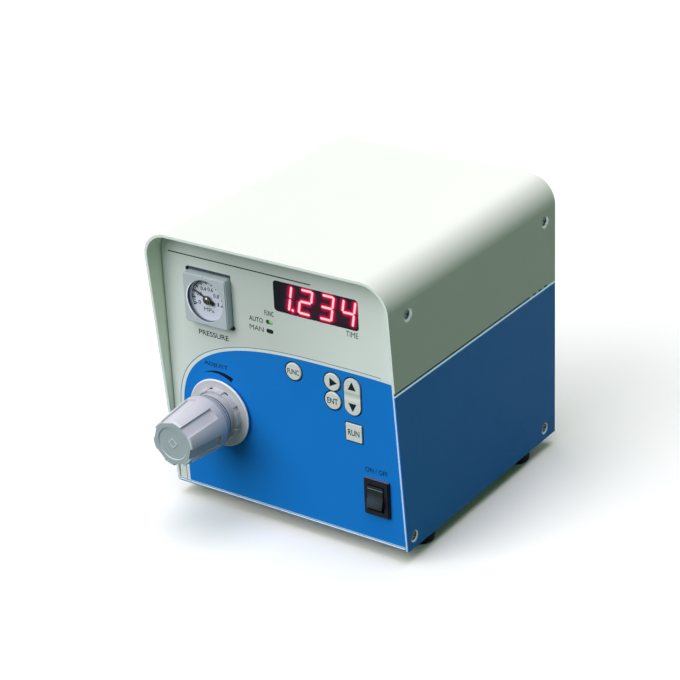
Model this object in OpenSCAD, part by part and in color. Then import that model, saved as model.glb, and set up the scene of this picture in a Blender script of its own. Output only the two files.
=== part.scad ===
// Desktop air-pulse dispensing controller: a painted sheet-steel case with a pressure regulator,
// a pressure gauge, a digit display, push keys and a power switch on its front panel.
// Millimetres. X runs to the right, Y to the back, Z up. Inside the modules y = 0 is the front
// panel's face and z = 0 the cover's lower edge; place() moves them to the part's own origin,
// on the desk, midway between the foremost and rearmost points.

/* [Case] */
// Width of the cover
case_w = 148; // [146:1:170]
// Depth of the cover's sides, measured at their lower edge
case_d = 149; // [147:1:190]
// Height of the cover
case_h = 150; // [148:1:180]
// Outside radius of the cover's top corners
corner_r = 15; // [12:1:18]
// How far the cover's top front edge overhangs the panel
visor_d = 12; // [6:1:18]
// Thickness of the cover's sheet
cover_t = 1.5; // [1:0.1:1.8]
// Thickness of the front and rear panels
panel_t = 1.5; // [1:0.1:1.8]
// Thickness of the printed film on the front panel
overlay_t = 0.4; // [0.2:0.1:0.6]
// Thickness of the base tray
tray_t = 1.2; // [0.8:0.1:1.5]
// Height of the tray's underside above the cover's lower edge
tray_lift = 0.5; // [0:0.1:1]
// Gap between the panels and the cover around them
panel_gap = 0.3; // [0.2:0.05:0.5]
// How far the rear panel is set in from the cover's rear edge
rear_inset = 1.6; // [1:0.2:3]
// How far the panels' side and bottom flanges reach inwards
flange_d = 14; // [12:1:18]
// Height of the tray's side lips
lip_h = 10; // [6:1:14]

/* [Feet] */
// Height of the cover's lower edge above the desk
foot_h = 8; // [6:0.5:12]
// Radius of a foot where it meets the tray
foot_r = 8.4; // [7:0.1:9]
// Radius of a foot near the desk
foot_tip_r = 7.8; // [5.5:0.1:8]
// Distance of a foot from the tray's side edge
foot_side = 0.2; // [0.1:0.1:5]
// Distance of a foot's centre from the cover's front and rear edges
foot_end = 26; // [24:1:32]

/* [Cover screws] */
// Distance of the screws from the panel's face
screw_front = 6; // [6:0.5:8]
// Distance of the screws from the cover's rear edge
screw_rear = 11; // [9:0.5:12]
// Height of the lower screws
screw_low = 6.5; // [6:0.5:9]
// Distance of the upper screws below the top of the cover
screw_top = 21; // [20:0.5:26]
// Radius of a screw's head
screw_head_r = 3.3; // [3:0.1:3.6]
// Radius of a screw's shank
screw_r = 1.75; // [1.5:0.05:1.9]

/* [Regulator] */
// Distance of the knob's axis from the panel's left side
reg_side = 32; // [28:0.2:34]
// Height of the knob's axis
reg_z = 50.2; // [49:0.2:54]
// Radius of the ring nut's flange
nut_r = 19; // [17:0.5:20]
// Thickness of the ring nut's flange
nut_t = 2.5; // [2:0.1:3]
// Radius of the threaded neck that passes through the panel
neck_r = 13; // [12.8:0.1:13.4]
// Distance from the panel to the knob's front face
knob_reach = 41; // [38:1:46]
// Length of the knob
knob_l = 33; // [31:0.5:34]
// Radius of the knob's skirt
knob_r = 15.2; // [15:0.1:16.5]
// Radius of the knob's front end
knob_tip_r = 12.8; // [12.2:0.1:14]
// Number of finger pockets around the knob
pocket_count = 6; // [4:1:7]
// Angle of one finger pocket
pocket_angle = 30; // [24:1:36]
// Depth of a finger pocket
pocket_depth = 1.5; // [0.8:0.1:1.6]
// How far the knob is pulled out to unlock it
knob_pull = 2.5; // [1.5:0.1:3]
// Width and height of the regulator's body
reg_w = 34; // [32:1:36]

/* [Gauge] */
// Distance of the gauge's middle from the panel's left side
gauge_side = 30.2; // [26:0.2:31]
// Distance of the gauge's middle below the top of the cover
gauge_drop = 35.6; // [33:0.2:38]
// Width and height of the gauge
gauge_w = 27.4; // [26.4:0.2:28.4]
// How far the gauge stands out of the panel
gauge_out = 4.6; // [4:0.1:6]
// Radius of the gauge's round window
gauge_bore_r = 11.4; // [10.5:0.1:12]
// Angle of the pointer at rest, from the right-hand side, turning left
pointer_rest = 153; // [100:1:200]

/* [Display] */
// Distance of the window's middle from the panel's right side
window_side = 48.2; // [47:0.2:50]
// Distance of the window's middle below the top of the cover
window_drop = 24.9; // [23:0.1:27]
// Width of the window
window_w = 50.8; // [49:0.1:52]
// Height of the window
window_h = 16.8; // [15.8:0.1:17.6]
// Depth of the digit module
digits_d = 8; // [7:0.5:10]
// Distance of the mode lamps left of the window's middle
lamp_left = 29.1; // [28:0.1:30]
// Distance of the upper lamp below the window's middle
lamp_drop = 15.7; // [14:0.1:16]
// Distance between the lamps
lamp_pitch = 5; // [4.5:0.1:6]

/* [Keys] */
// Radius of a round key
key_r = 4.8; // [4.4:0.1:4.9]
// Gap around a key
key_gap = 0.3; // [0.2:0.05:0.4]
// How far a key stands out of the panel
key_out = 0.6; // [0.4:0.1:1.2]
// How far a key travels when pressed
key_travel = 0.4; // [0.2:0.05:0.5]
// Distance of the mode key left of the window's middle
mode_left = 15.6; // [12:0.2:18]
// Distance of the step and set keys right of the window's middle
set_right = 7.9; // [7:0.1:8]
// Height of the upper row of keys
row_z = 85.4; // [85.2:0.1:87]
// Height of the set key
set_z = 75; // [74:0.1:75.2]
// Distance of the see-saw and test keys right of the window's middle
updown_right = 19.9; // [19.8:0.1:20.8]
// Height of the see-saw key's middle
updown_z = 80.2; // [80:0.1:80.4]
// Height of the see-saw key
updown_h = 20.2; // [19:0.1:21]
// How far the see-saw key tilts each way, in degrees
updown_tilt = 3; // [1.5:0.5:3]
// Height of the test key's middle
test_z = 60.1; // [59.8:0.1:61]
// Width and height of the square test key
test_w = 9.6; // [9:0.1:10]

/* [Power switch] */
// Distance of the switch's middle from the panel's right side
switch_side = 15.5; // [14:0.1:17]
// Height of the switch's middle
switch_z = 27; // [25:0.5:29]
// Width of the switch's bezel
bezel_w = 15; // [14.4:0.1:15.6]
// Height of the switch's bezel
bezel_h = 20.8; // [20.4:0.1:21.5]
// Thickness of the switch's bezel
bezel_t = 2; // [1.6:0.1:2.4]
// Width of the rocker
rocker_w = 9.2; // [8.6:0.1:9.6]
// Tilt of the rocker each way, in degrees
rocker_tilt = 10; // [7:1:10]

/* [Air path] */
// Radius of the air hose that plugs in at the back
hose_r = 3; // [2.5:0.1:3.4]
// Radius of the tubes inside the case
tube_r = 2; // [1.6:0.1:2.2]
// Bend radius of the tubes inside the case
tube_bend = 10; // [9:0.5:10]
// Length of a straight fitting
fitting_l = 9; // [8:0.5:9.5]
// Distance of the valve's middle left of its air ports
valve_left = 6.8; // [5:0.1:9]
// Distance of the valve from the panel's face
valve_y = 78; // [70:1:84]

/* [Back] */
// Distance of the mains inlet's middle from the rear panel's side edge
inlet_side = 28.2; // [27.8:0.2:29]
// Height of the mains inlet's middle
inlet_z = 24; // [22:0.5:26]
// Height of the fuse holder
fuse_z = 60; // [56:1:66]
// Distance of the foot-switch socket from the mains inlet's middle
jack_left = 21; // [20:0.5:22]
// Length of the exhaust silencer's porous barrel
silencer_l = 12; // [10:1:16]

/* [Hidden] */
$fn = 64;

// Clearances
cut = 1;            // how far a cutter runs past the face it opens
touch = 0.3;        // gap between faces that meet but do not fit
run_fit = 0.05;     // radial clearance of a shaft that turns or slides in its bore

// Panels and tray
pan_w = case_w - 2 * cover_t - 2 * panel_gap;
pan_z = tray_lift + tray_t;
pan_top = case_h - cover_t - panel_gap;
pan_r = corner_r - cover_t - panel_gap;
pan_back = overlay_t + panel_t;
rear_out = case_d - rear_inset;
rear_in = rear_out - panel_t;
tray_nose = 0.5;
flange_top = case_h - corner_r - 1;
tray_screw_x = case_w / 2 - 16;
foot_x = pan_w / 2 - foot_side - foot_r;
screw_ys = [screw_front, case_d - screw_rear];
screw_zs = [screw_low, case_h - screw_top];
small_screw_r = 1.5;

// Regulator
reg_x = reg_side - pan_w / 2;
collar_r = neck_r - 1.5;
castle_out = neck_r + 1.3;
castle_y = nut_t + 3;
knob_front = -knob_reach;
knob_rear = knob_front + knob_l;
knob_neck_r = collar_r + 1.3;
collar_end = knob_rear - 14;
drive_af = 10;
bonnet_end = pan_back + 12;
reg_back = bonnet_end + 30;
stem_r = 4;
spring_y = touch + 1.5;

// Gauge
gauge_x = gauge_side - pan_w / 2;
gauge_z = case_h - gauge_drop;
gauge_floor = -gauge_out + 3.4;
gauge_back = pan_back + 10;
gauge_port_y = gauge_back + 2;
gauge_case_r = 12;

// Display and keys
window_x = pan_w / 2 - window_side;
window_z = case_h - window_drop;
lamp_x = window_x - lamp_left;
lamp_z = window_z - lamp_drop;
mode_x = window_x - mode_left;
set_x = window_x + set_right;
updown_x = window_x + updown_right;
window_flange = 1.2;
digits_w = window_w - 0.5;
digits_h = window_h + 2.2;

// Boards behind the panel; the lower part carries the test key's switch
board_t = 1.6;
board_gap = 18;
board_y = pan_back + window_flange + touch + digits_d;
control_y = board_y + board_t + board_gap;
board_edge = 3.5;
board_x0 = window_x - window_w / 2 - 11.6;
board_x1 = pan_w / 2 - 14.2;
board_z0 = test_z - test_w / 2 - 0.7;
board_z1 = window_z + digits_h / 2 + 2.4;
board_step_x = updown_x - 18;
board_step_z = set_z - key_r - 1.2;
spacer_r = 2.5;
spacer_spots = [[board_x0 + board_edge, board_step_z + board_edge], [board_x0 + board_edge, board_z1 - board_edge],
    [board_x1 - board_edge, board_z0 + board_edge], [board_x1 - board_edge, board_z1 - board_edge],
    [board_step_x + board_edge, board_z0 + board_edge]];
connector_h = 6;
tact_w = 6;
tact_d = 3.5;
stem_key_r = 1.7;

// Power switch
switch_x = pan_w / 2 - switch_side;
pivot_y = 2.5;
rocker_l = 6.8;
switch_depth = 16;
switch_body_h = bezel_h - 2;
switch_body_w = bezel_w - 2.2;

// Air path
fitting_r = 4.5;
port_r = 3.2;
thread_l = 5;
port_d = thread_l + 1;
grip = 4;
supply_y = bonnet_end + 12;
in_z = reg_z - reg_w / 2 - fitting_l - tube_bend;
press_x = reg_x + reg_w / 2 + fitting_l + tube_bend;
gauge_tube_y = gauge_port_y + fitting_l + tube_bend;
valve_x = press_x - valve_left;
valve_w = 34;
bracket_foot = 10;
valve_d = 22;
valve_h = 20;
exhaust_x = valve_x - valve_w / 2 - fitting_l - tube_bend;
exhaust_y = valve_y + valve_d / 2;
bulk_in = 14;
bulk_r = 6;
bulk_hex = 15;
collar_out = 1.6;

// Back
inlet_x = pan_w / 2 - inlet_side;
inlet_w = 27;
inlet_h = 20;
inlet_flange_w = 50;
inlet_d = 18;
inlet_screw_x = 20;
blade_l = 8;
blade_w = 4;
blade_t = 2;
blade_x = 7;
jack_x = inlet_x - jack_left;
jack_z = fuse_z;
jack_d = 22;
fuse_l = 24;
cavity_w = 24;
cavity_h = 16;
cavity_d = 16.5;
fuse_r = 6.5;
fuse_bore_r = 4.2;
fuse_cap_r = 8;
jack_r = 3.25;
supply_x0 = valve_x + valve_w / 2 + 6;
supply_x1 = pan_w / 2 - 6.2;
supply_y0 = control_y + board_t + 7.4;
supply_y1 = rear_in - inlet_d - blade_l - 10;
supply_z = pan_z + 6.3;
supply_top = supply_z + board_t;
supply_edge = 4;

// The part's origin
front_most = knob_front;
silencer_end = rear_out + 4 + silencer_l;
mid_y = (front_most + silencer_end) / 2;

module place() { translate([0, -mid_y, foot_h]) children(); }

// A bar along Y from y0 to y1
module rod(r, y0, y1) { translate([0, y0, 0]) rotate([-90, 0, 0]) cylinder(r = r, h = y1 - y0); }

// A hexagonal bar along Y, af across its flats
module hex_rod(af, y0, y1) {
    translate([0, y0, 0]) rotate([-90, 0, 0]) cylinder(r = af / sqrt(3), h = y1 - y0, $fn = 6);
}

// A turned part about the Y axis, from points of [radius, y]
module turned(points) { rotate([-90, 0, 0]) rotate_extrude($fn = 96) polygon(points); }

// A flat shape drawn in X and Z, as thick as from y0 to y1
module plate(y0, y1) { translate([0, y1, 0]) rotate([90, 0, 0]) linear_extrude(y1 - y0) children(); }

// A block centred on X and Z
module block(w, h, y0, y1) { translate([-w / 2, y0, -h / 2]) cube([w, y1 - y0, h]); }

module at(x, z) { translate([x, 0, z]) children(); }

// A rectangle with round corners
module round_rect(w, h, r) {
    square([w - 2 * r, h], center = true);
    square([w, h - 2 * r], center = true);
    for (x = [-1, 1], z = [-1, 1]) translate([x * (w / 2 - r), z * (h / 2 - r)]) circle(r);
}

// A slot with round ends, upright
module stadium(w, h) {
    square([w, h - w], center = true);
    for (s = [-1, 1]) translate([0, s * (h - w) / 2]) circle(w / 2);
}

// An upright plate with round top corners, from z0 up to z1
module arch(w, z0, z1, r) {
    translate([-w / 2, z0]) square([w, z1 - r - z0]);
    translate([-w / 2 + r, z0]) square([w - 2 * r, z1 - z0]);
    for (s = [-1, 1]) translate([s * (w / 2 - r), z1 - r]) circle(r);
}

// A bent rod through points that turn only at right angles
function toward(a, b) = (b - a) / norm(b - a);
module bar_between(a, b, r) {
    d = toward(a, b);
    translate(a) rotate([0, acos(d[2]), atan2(d[1], d[0])]) cylinder(r = r, h = norm(b - a), $fn = 32);
}
module elbow(p, into, out, r, bend) {
    c = p - into * bend + out * bend;
    n = cross(-out, into);
    multmatrix([[-out[0], into[0], n[0], c[0]], [-out[1], into[1], n[1], c[1]],
        [-out[2], into[2], n[2], c[2]], [0, 0, 0, 1]])
        rotate_extrude(angle = 90, $fn = 64) translate([bend, 0]) circle(r, $fn = 32);
}
module bent_rod(points, r, bend) {
    last = len(points) - 1;
    for (i = [0 : last - 1]) {
        d = toward(points[i], points[i + 1]);
        from = i == 0 ? points[i] : points[i] + d * bend;
        to = i == last - 1 ? points[i + 1] : points[i + 1] - d * bend;
        bar_between(from, to, r);
    }
    for (i = [1 : 1 : last - 1])
        elbow(points[i], toward(points[i - 1], points[i]), toward(points[i], points[i + 1]), r, bend);
}

// A pan-head screw that points down, its head's underside at z = 0
module pan_screw(len_in) {
    difference() {
        union() {
            cylinder(r = 2.7, h = 1.8, $fn = 32);
            translate([0, 0, -len_in]) cylinder(r = small_screw_r, h = len_in, $fn = 32);
        }
        for (a = [0, 90]) rotate(a) translate([-1.6, -0.35, 0.9]) cube([3.2, 0.7, cut]);
    }
}

// Case

module cover_sides() {
    translate([-case_w / 2 - cut, 0, 0]) rotate([90, 0, 90]) linear_extrude(case_w + 2 * cut)
        polygon([[0, -cut], [0, 0], [-visor_d, case_h], [-visor_d, case_h + cut],
            [case_d, case_h + cut], [case_d, -cut]]);
}

// Runs its children at every cover screw, with +Z pointing out of the cover
module at_cover_screws() {
    for (s = [-1, 1], y = screw_ys, z = screw_zs)
        translate([s * case_w / 2, y, z]) rotate([0, s * 90, 0]) children();
}

module cover() {
    color("ivory") place() difference() {
        intersection() {
            plate(-visor_d, case_d) difference() {
                arch(case_w, 0, case_h, corner_r);
                arch(case_w - 2 * cover_t, -cut, case_h - cover_t, corner_r - cover_t);
            }
            cover_sides();
        }
        at_cover_screws() {
            csk = screw_head_r + 0.3;
            translate([0, 0, -cover_t]) cylinder(r1 = csk - cover_t, r2 = csk, h = cover_t);
            translate([0, 0, -cover_t - cut]) cylinder(r = csk - cover_t, h = cover_t + cut);
            cylinder(r = csk, h = cut);
        }
    }
}

module cover_screws() {
    color("silver") place() at_cover_screws() {
        sunk = 0.25;
        difference() {
            translate([0, 0, -sunk]) union() {
                cone_h = screw_head_r - screw_r;
                translate([0, 0, -cone_h]) cylinder(r1 = screw_r, r2 = screw_head_r, h = cone_h);
                translate([0, 0, -8]) cylinder(r = screw_r, h = 8 - cone_h);
            }
            for (a = [45, 135]) rotate(a) translate([-1.9, -0.4, -sunk - 1.1]) cube([3.8, 0.8, 2]);
        }
    }
}

module foot_places() {
    for (s = [-1, 1], y = [foot_end, case_d - foot_end]) translate([s * foot_x, y, tray_lift])
        children();
}

module tray_screw_places() {
    for (s = [-1, 1], y = [flange_d - 5, rear_out - flange_d + 5])
        translate([s * tray_screw_x, y, pan_z + panel_t]) children();
}

module bracket_screw_places() {
    for (s = [-1, 1]) translate([valve_x + s * (valve_w + bracket_foot) / 2, exhaust_y, pan_z + panel_t])
        children();
}

module supply_spacer_places() {
    for (x = [supply_x0 + supply_edge, supply_x1 - supply_edge],
        y = [supply_y0 + supply_edge, supply_y1 - supply_edge])
        translate([x, y, pan_z]) children();
}

module base_tray() {
    color("ivory") place() difference() {
        union() {
            translate([-pan_w / 2, -tray_nose, tray_lift]) cube([pan_w, rear_out + 2 * tray_nose, tray_t]);
            for (s = [-1, 1]) translate([s * (pan_w / 2 - tray_t / 2), case_d / 2, tray_lift + lip_h / 2])
                cube([tray_t, case_d - 2 * flange_d - 6, lip_h], center = true);
        }
        foot_places() translate([0, 0, -cut]) cylinder(r = 2.1, h = tray_t + 2 * cut);
        tray_screw_places() translate([0, 0, -10]) cylinder(r = small_screw_r + 0.1, h = 10);
        bracket_screw_places() translate([0, 0, -10]) cylinder(r = small_screw_r + 0.1, h = 10);
    }
}

module feet() {
    color("black") place() foot_places() rotate_extrude() difference() {
        round_edge = 1.3;
        drop = foot_h + tray_lift;
        union() {
            polygon([[0, 0], [foot_r, 0], [foot_r, -1.5],
                [foot_tip_r, -drop + round_edge], [foot_tip_r - round_edge, -drop], [0, -drop]]);
            translate([foot_tip_r - round_edge, -drop + round_edge]) circle(round_edge);
        }
        translate([-2 * foot_r, -2 * drop]) square([2 * foot_r, 3 * drop]);
        translate([0, -drop - cut]) square([3.6, cut + drop - 3]);
        translate([0, -drop]) square([2.1, 2 * drop]);
    }
}

module foot_screws() {
    color("silver") place() foot_places() {
        translate([0, 0, -3 - 2.2]) cylinder(r = 3.2, h = 2.2);
        translate([0, 0, -3]) cylinder(r = 1.9, h = 3 + tray_t + 3);
        translate([0, 0, tray_t]) cylinder(r = 3.5, h = 2.4, $fn = 6);
    }
}

// Flanges along a panel's sides and foot, from y0 to y1
module panel_flanges(y0, y1) {
    for (s = [-1, 1]) translate([s * (pan_w - panel_t) / 2 - panel_t / 2, y0, pan_z])
        cube([panel_t, y1 - y0, flange_top - pan_z]);
    translate([-pan_w / 2 + 8, y0, pan_z]) cube([pan_w - 16, y1 - y0, panel_t]);
}

module flange_holes() {
    at_cover_screws() translate([0, 0, -12]) cylinder(r = screw_r + run_fit, h = 12);
    tray_screw_places() translate([0, 0, -5]) cylinder(r = small_screw_r + 0.1, h = 10);
}

// Openings of the front panel; grow widens them
module panel_openings(grow) {
    translate([gauge_x, gauge_z]) square(gauge_w + 0.6 + grow, center = true);
    // Corner reliefs of the gauge's punched opening
    for (s = [-1, 1]) translate([gauge_x + s * gauge_w / 2, gauge_z - s * gauge_w / 2]) circle(1.3 + grow);
    translate([reg_x, reg_z]) circle(neck_r + 0.2 + grow);
    translate([window_x, window_z]) round_rect(window_w + grow, window_h + grow, 2);
    for (i = [0, 1]) translate([lamp_x, lamp_z - i * lamp_pitch]) rotate(90) stadium(2.4 + grow, 4.4 + grow);
    for (p = [[mode_x, row_z], [set_x, row_z], [set_x, set_z]]) translate(p) circle(key_r + key_gap + grow);
    translate([updown_x, updown_z]) stadium(2 * (key_r + key_gap) + grow, updown_h + 2 * key_gap + grow);
    translate([updown_x, test_z]) square(test_w + 2 * key_gap + grow, center = true);
    translate([switch_x, switch_z]) square([switch_body_w + 0.4 + grow, switch_body_h + 0.4 + grow], center = true);
}

module front_panel() {
    color("gainsboro") place() difference() {
        union() {
            plate(overlay_t, pan_back) difference() {
                arch(pan_w, pan_z, pan_top, pan_r);
                panel_openings(0);
            }
            panel_flanges(overlay_t, flange_d);
        }
        flange_holes();
    }
}

module panel_overlay() {
    film_gap = 0.3;
    color("dodgerblue") place() plate(0, overlay_t) difference() {
        arch(pan_w - 2 * film_gap, pan_z + film_gap, pan_top - film_gap, pan_r - film_gap);
        panel_openings(0);
    }
}

module rear_openings() {
    translate([reg_x, in_z]) circle(bulk_r + 0.1);
    translate([press_x, reg_z]) circle(bulk_r + 0.1);
    translate([exhaust_x, reg_z]) circle(bulk_r + 0.1);
    translate([inlet_x, inlet_z]) square([inlet_w + 0.4, inlet_h + 0.4], center = true);
    for (s = [-1, 1]) translate([inlet_x + s * inlet_screw_x, inlet_z]) circle(small_screw_r + 0.1);
    translate([inlet_x, fuse_z]) circle(fuse_r + 0.1);
    translate([jack_x, jack_z]) circle(bulk_r + 0.1);
}

module rear_panel() {
    color("ivory") place() difference() {
        union() {
            plate(rear_in, rear_out) difference() {
                arch(pan_w, pan_z, pan_top, pan_r);
                rear_openings();
            }
            panel_flanges(rear_out - flange_d, rear_out);
        }
        flange_holes();
    }
}

module inner_screws() {
    color("silver") place() {
        tray_screw_places() pan_screw(6);
        bracket_screw_places() pan_screw(5);
        supply_spacer_places() translate([0, 0, supply_z - pan_z + board_t]) pan_screw(5);
        spacer_places() translate([0, control_y + board_t, 0]) rotate([-90, 0, 0]) pan_screw(5);
        for (s = [-1, 1]) translate([inlet_x + s * inlet_screw_x, rear_out + 2, inlet_z]) rotate([-90, 0, 0])
            pan_screw(8);
    }
}

// Display and keys

module display_window() {
    color([0.1, 0.02, 0.03, 0.6]) place() at(window_x, window_z) {
        plate(0.1, pan_back) round_rect(window_w - 0.4, window_h - 0.4, 1.8);
        plate(pan_back, pan_back + window_flange) square([window_w + 2, window_h + 3], center = true);
    }
}

module digit_display() {
    color("maroon") place() at(window_x, window_z)
        block(digits_w, digits_h, board_y - digits_d, board_y);
}

module spacer_places() { for (p = spacer_spots) at(p[0], p[1]) children(); }

// Outline that the display board and the control board share
module board_outline() {
    translate([board_x0, board_step_z]) square([board_x1 - board_x0, board_z1 - board_step_z]);
    translate([board_step_x, board_z0]) square([board_x1 - board_step_x, board_z1 - board_z0]);
}

module display_board() {
    color("darkgreen") place() difference() {
        plate(board_y, board_y + board_t) board_outline();
        spacer_places() rod(1.6, board_y - cut, board_y + board_t + cut);
    }
}

module board_spacers() {
    color("goldenrod") place() {
        spacer_places() {
            rod(spacer_r, pan_back, board_y);
            rod(1.55, board_y, board_y + board_t);
            difference() {
                hex_rod(2 * spacer_r, board_y + board_t, control_y);
                rod(small_screw_r, control_y - 6, control_y + cut);
            }
        }
        supply_spacer_places() difference() {
            cylinder(r = spacer_r, h = supply_z - pan_z);
            translate([0, 0, 1]) cylinder(r = small_screw_r, h = supply_z);
        }
    }
}

module mode_lamp(z) {
    at(lamp_x, z) {
        plate(0.05, pan_back) rotate(90) stadium(2.2, 4.2);
        plate(pan_back, board_y - 2) square([5, 2.4], center = true);
        for (s = [-1, 1]) at(1.27 * s, 0) rod(0.3, board_y - 2, board_y);
    }
}
module timer_lamp() { color("limegreen") place() mode_lamp(lamp_z); }
module free_lamp() { color("darkolivegreen") place() mode_lamp(lamp_z - lamp_pitch); }

// The part of a key behind its cap: tabs that hold it in the panel and the stem to its switch
module key_back() {
    tab_y = pan_back + touch;
    block(2 * key_r + 2.6, 5.6, tab_y, tab_y + 1);
    rod(stem_key_r, tab_y + 1, board_y - tact_d + 0.8);
}
module round_key() {
    turned([[0, -key_out], [key_r - 0.4, -key_out], [key_r, -key_out + 0.4], [key_r, pan_back + touch],
        [0, pan_back + touch]]);
    key_back();
}
module key_mode() { color("beige") place() at(mode_x, row_z) round_key(); }
module key_right() { color("beige") place() at(set_x, row_z) round_key(); }
module key_set() { color("beige") place() at(set_x, set_z) round_key(); }
module key_test() {
    color("beige") place() at(updown_x, test_z) {
        plate(-key_out, pan_back + touch) square(test_w, center = true);
        key_back();
    }
}

// See-saw key: it tips on a pin behind its middle and presses one switch at each end
updown_stem = updown_h / 2 - key_r + 0.3;
fulcrum_y = pan_back + 2.4;
fulcrum_r = 0.8;
module key_up_down() {
    color("beige") place() at(updown_x, updown_z) {
        plate(-key_out, pan_back + 0.4) stadium(2 * key_r, updown_h);
        difference() {
            block(2 * key_r - 2, 3.2, pan_back + 0.4, fulcrum_y + 1.6);
            translate([-key_r, fulcrum_y, 0]) rotate([0, 90, 0]) cylinder(r = fulcrum_r + run_fit, h = 2 * key_r);
        }
        for (s = [-1, 1]) at(0, s * updown_stem) rod(stem_key_r, pan_back + 0.4, board_y - tact_d + 0.8);
    }
}

module key_fulcrum() {
    ear = 1;
    reach = key_r + 0.4;
    color("gray") place() at(updown_x, updown_z) {
        for (s = [-1, 1]) translate([s * (reach + ear / 2), 0, 0]) block(ear, 3, fulcrum_y - 1.3, board_y);
        translate([-reach - ear, fulcrum_y, 0]) rotate([0, 90, 0]) cylinder(r = fulcrum_r, h = 2 * (reach + ear));
    }
}

// One push switch on the display board, open for a stem of radius r
module tact_switch(r) {
    difference() {
        block(tact_w, tact_w, board_y - tact_d, board_y);
        rod(r, board_y - tact_d - cut, board_y - tact_d + 1.6);
    }
}
module tact_switches() {
    color("dimgray") place() {
        for (p = [[mode_x, row_z], [set_x, row_z], [set_x, set_z], [updown_x, test_z]])
            at(p[0], p[1]) tact_switch(stem_key_r + run_fit);
        for (s = [-1, 1]) at(updown_x, updown_z + s * updown_stem) tact_switch(stem_key_r + 0.6);
    }
}

// Pressure gauge

module gauge_case() {
    color("lavender") place() at(gauge_x, gauge_z) difference() {
        union() {
            plate(-gauge_out + 0.5, pan_back + 4) round_rect(gauge_w, gauge_w, 1.5);
            plate(-gauge_out, -gauge_out + 0.5) round_rect(gauge_w - 1, gauge_w - 1, 1.2);
            rod(gauge_case_r, pan_back + 4, gauge_back);
            rod(4, gauge_back, gauge_port_y);
            for (s = [-1, 1]) translate([0, pan_back + 0.1 + 1.5, s * (gauge_w / 2 + 0.5)])
                cube([8, 3, 2], center = true);
        }
        rod(gauge_bore_r, -gauge_out - cut, gauge_floor);
        rod(0.5, gauge_floor - cut, gauge_floor + 6);
        rod(port_r, gauge_port_y - port_d, gauge_port_y + cut);
        for (s = [-1, 1]) translate([0, -gauge_out, s * gauge_w / 2]) cube([1.4, 2, 1.6], center = true);
    }
}

module gauge_dial() {
    color("white") place() at(gauge_x, gauge_z) difference() {
        rod(gauge_bore_r - 0.1, gauge_floor - 0.4, gauge_floor);
        rod(0.7, gauge_floor - cut, gauge_floor + cut);
    }
}

module gauge_pointer() {
    tip = gauge_bore_r - 2.2;
    color("black") place() at(gauge_x, gauge_z) rotate([0, -pointer_rest, 0]) {
        plate(gauge_floor - 1.3, gauge_floor - 0.9)
            polygon([[tip, 0.12], [tip, -0.12], [0, -0.55], [-2.4, -1.1], [-4.4, -1.1], [-4.4, 1.1],
                [-2.4, 1.1], [0, 0.55]]);
        rod(1.7, gauge_floor - 1.6, gauge_floor - 0.8);
        rod(0.47, gauge_floor - 0.8, gauge_floor + 5);
    }
}

module gauge_lens() {
    color([0.9, 0.95, 1, 0.3]) place() at(gauge_x, gauge_z)
        rod(gauge_bore_r - 0.05, -gauge_out + 0.4, -gauge_out + 1.2);
}

// Pressure regulator

module regulator_nut() {
    notch = 2.8;
    notches = 9;
    first = 25;
    bore_r = neck_r + run_fit;
    color("lightgray") place() at(reg_x, reg_z) {
        turned([[bore_r, -nut_t], [nut_r - 0.4, -nut_t], [nut_r, -nut_t + 0.4], [nut_r, -nut_t + 0.9],
            [nut_r - 1.4, 0], [bore_r, 0]]);
        plate(-castle_y, -nut_t + 0.5) difference() {
            circle(castle_out);
            circle(bore_r + 0.3);
            for (i = [0 : notches - 1]) rotate(first + 360 / notches * i)
                translate([neck_r - 1, -notch / 2]) square([castle_out - neck_r + 2, notch]);
        }
    }
}

module regulator_bonnet() {
    spring_r = neck_r - 3;
    color("gainsboro") place() at(reg_x, reg_z)
        turned([[stem_r + run_fit, collar_end], [collar_r, collar_end], [collar_r, -castle_y + 0.6],
            [neck_r, -castle_y + 0.6], [neck_r, pan_back], [reg_w / 2 - 0.5, pan_back],
            [reg_w / 2 - 0.5, bonnet_end], [spring_r, bonnet_end], [spring_r, 0], [stem_r + run_fit, 0]]);
}

// Radius of the knob's tapered grip at a place along the axis
taper_y = knob_front + 22;
module pocket_cutter() {
    lean = atan((knob_r - knob_tip_r) / 22);
    width = 2 * knob_tip_r * sin(pocket_angle / 2);
    translate([knob_r - pocket_depth, taper_y, 0]) rotate([0, 0, -lean])
        translate([0, -30, -width / 2]) cube([10, 30, width]);
}

module regulator_knob() {
    cavity_r = collar_r + 0.4;
    disc_r = knob_tip_r - 4;
    recess = 0.6;
    mark_w = 4.4;
    mark_line = 0.7;
    color("lightgray") place() at(reg_x, reg_z) {
        // Raised diamond in the middle of the recessed front
        plate(knob_front + recess / 2, knob_front + recess + 0.2) rotate(45) difference() {
            square(mark_w, center = true);
            square(mark_w - 2 * mark_line, center = true);
        }
        difference() {
            turned([[0, knob_front + recess], [disc_r, knob_front + recess], [disc_r + 0.3, knob_front],
                [knob_tip_r - 0.4, knob_front], [knob_tip_r, knob_front + 0.4], [knob_r, taper_y],
                [knob_r, knob_rear - 6], [knob_r - 0.8, knob_rear - 5], [knob_neck_r + 0.4, knob_rear - 4.4],
                [knob_neck_r + 0.4, knob_rear - 2.6], [knob_neck_r, knob_rear - 2.4],
                [knob_neck_r, knob_rear], [cavity_r, knob_rear], [cavity_r, collar_end - 4],
                [0, collar_end - 4]]);
            for (i = [0 : pocket_count - 1]) rotate([0, -44 - 360 / pocket_count * i, 0]) pocket_cutter();
            hex_rod(drive_af + 0.3, collar_end - 13, collar_end);
        }
    }
}

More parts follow.
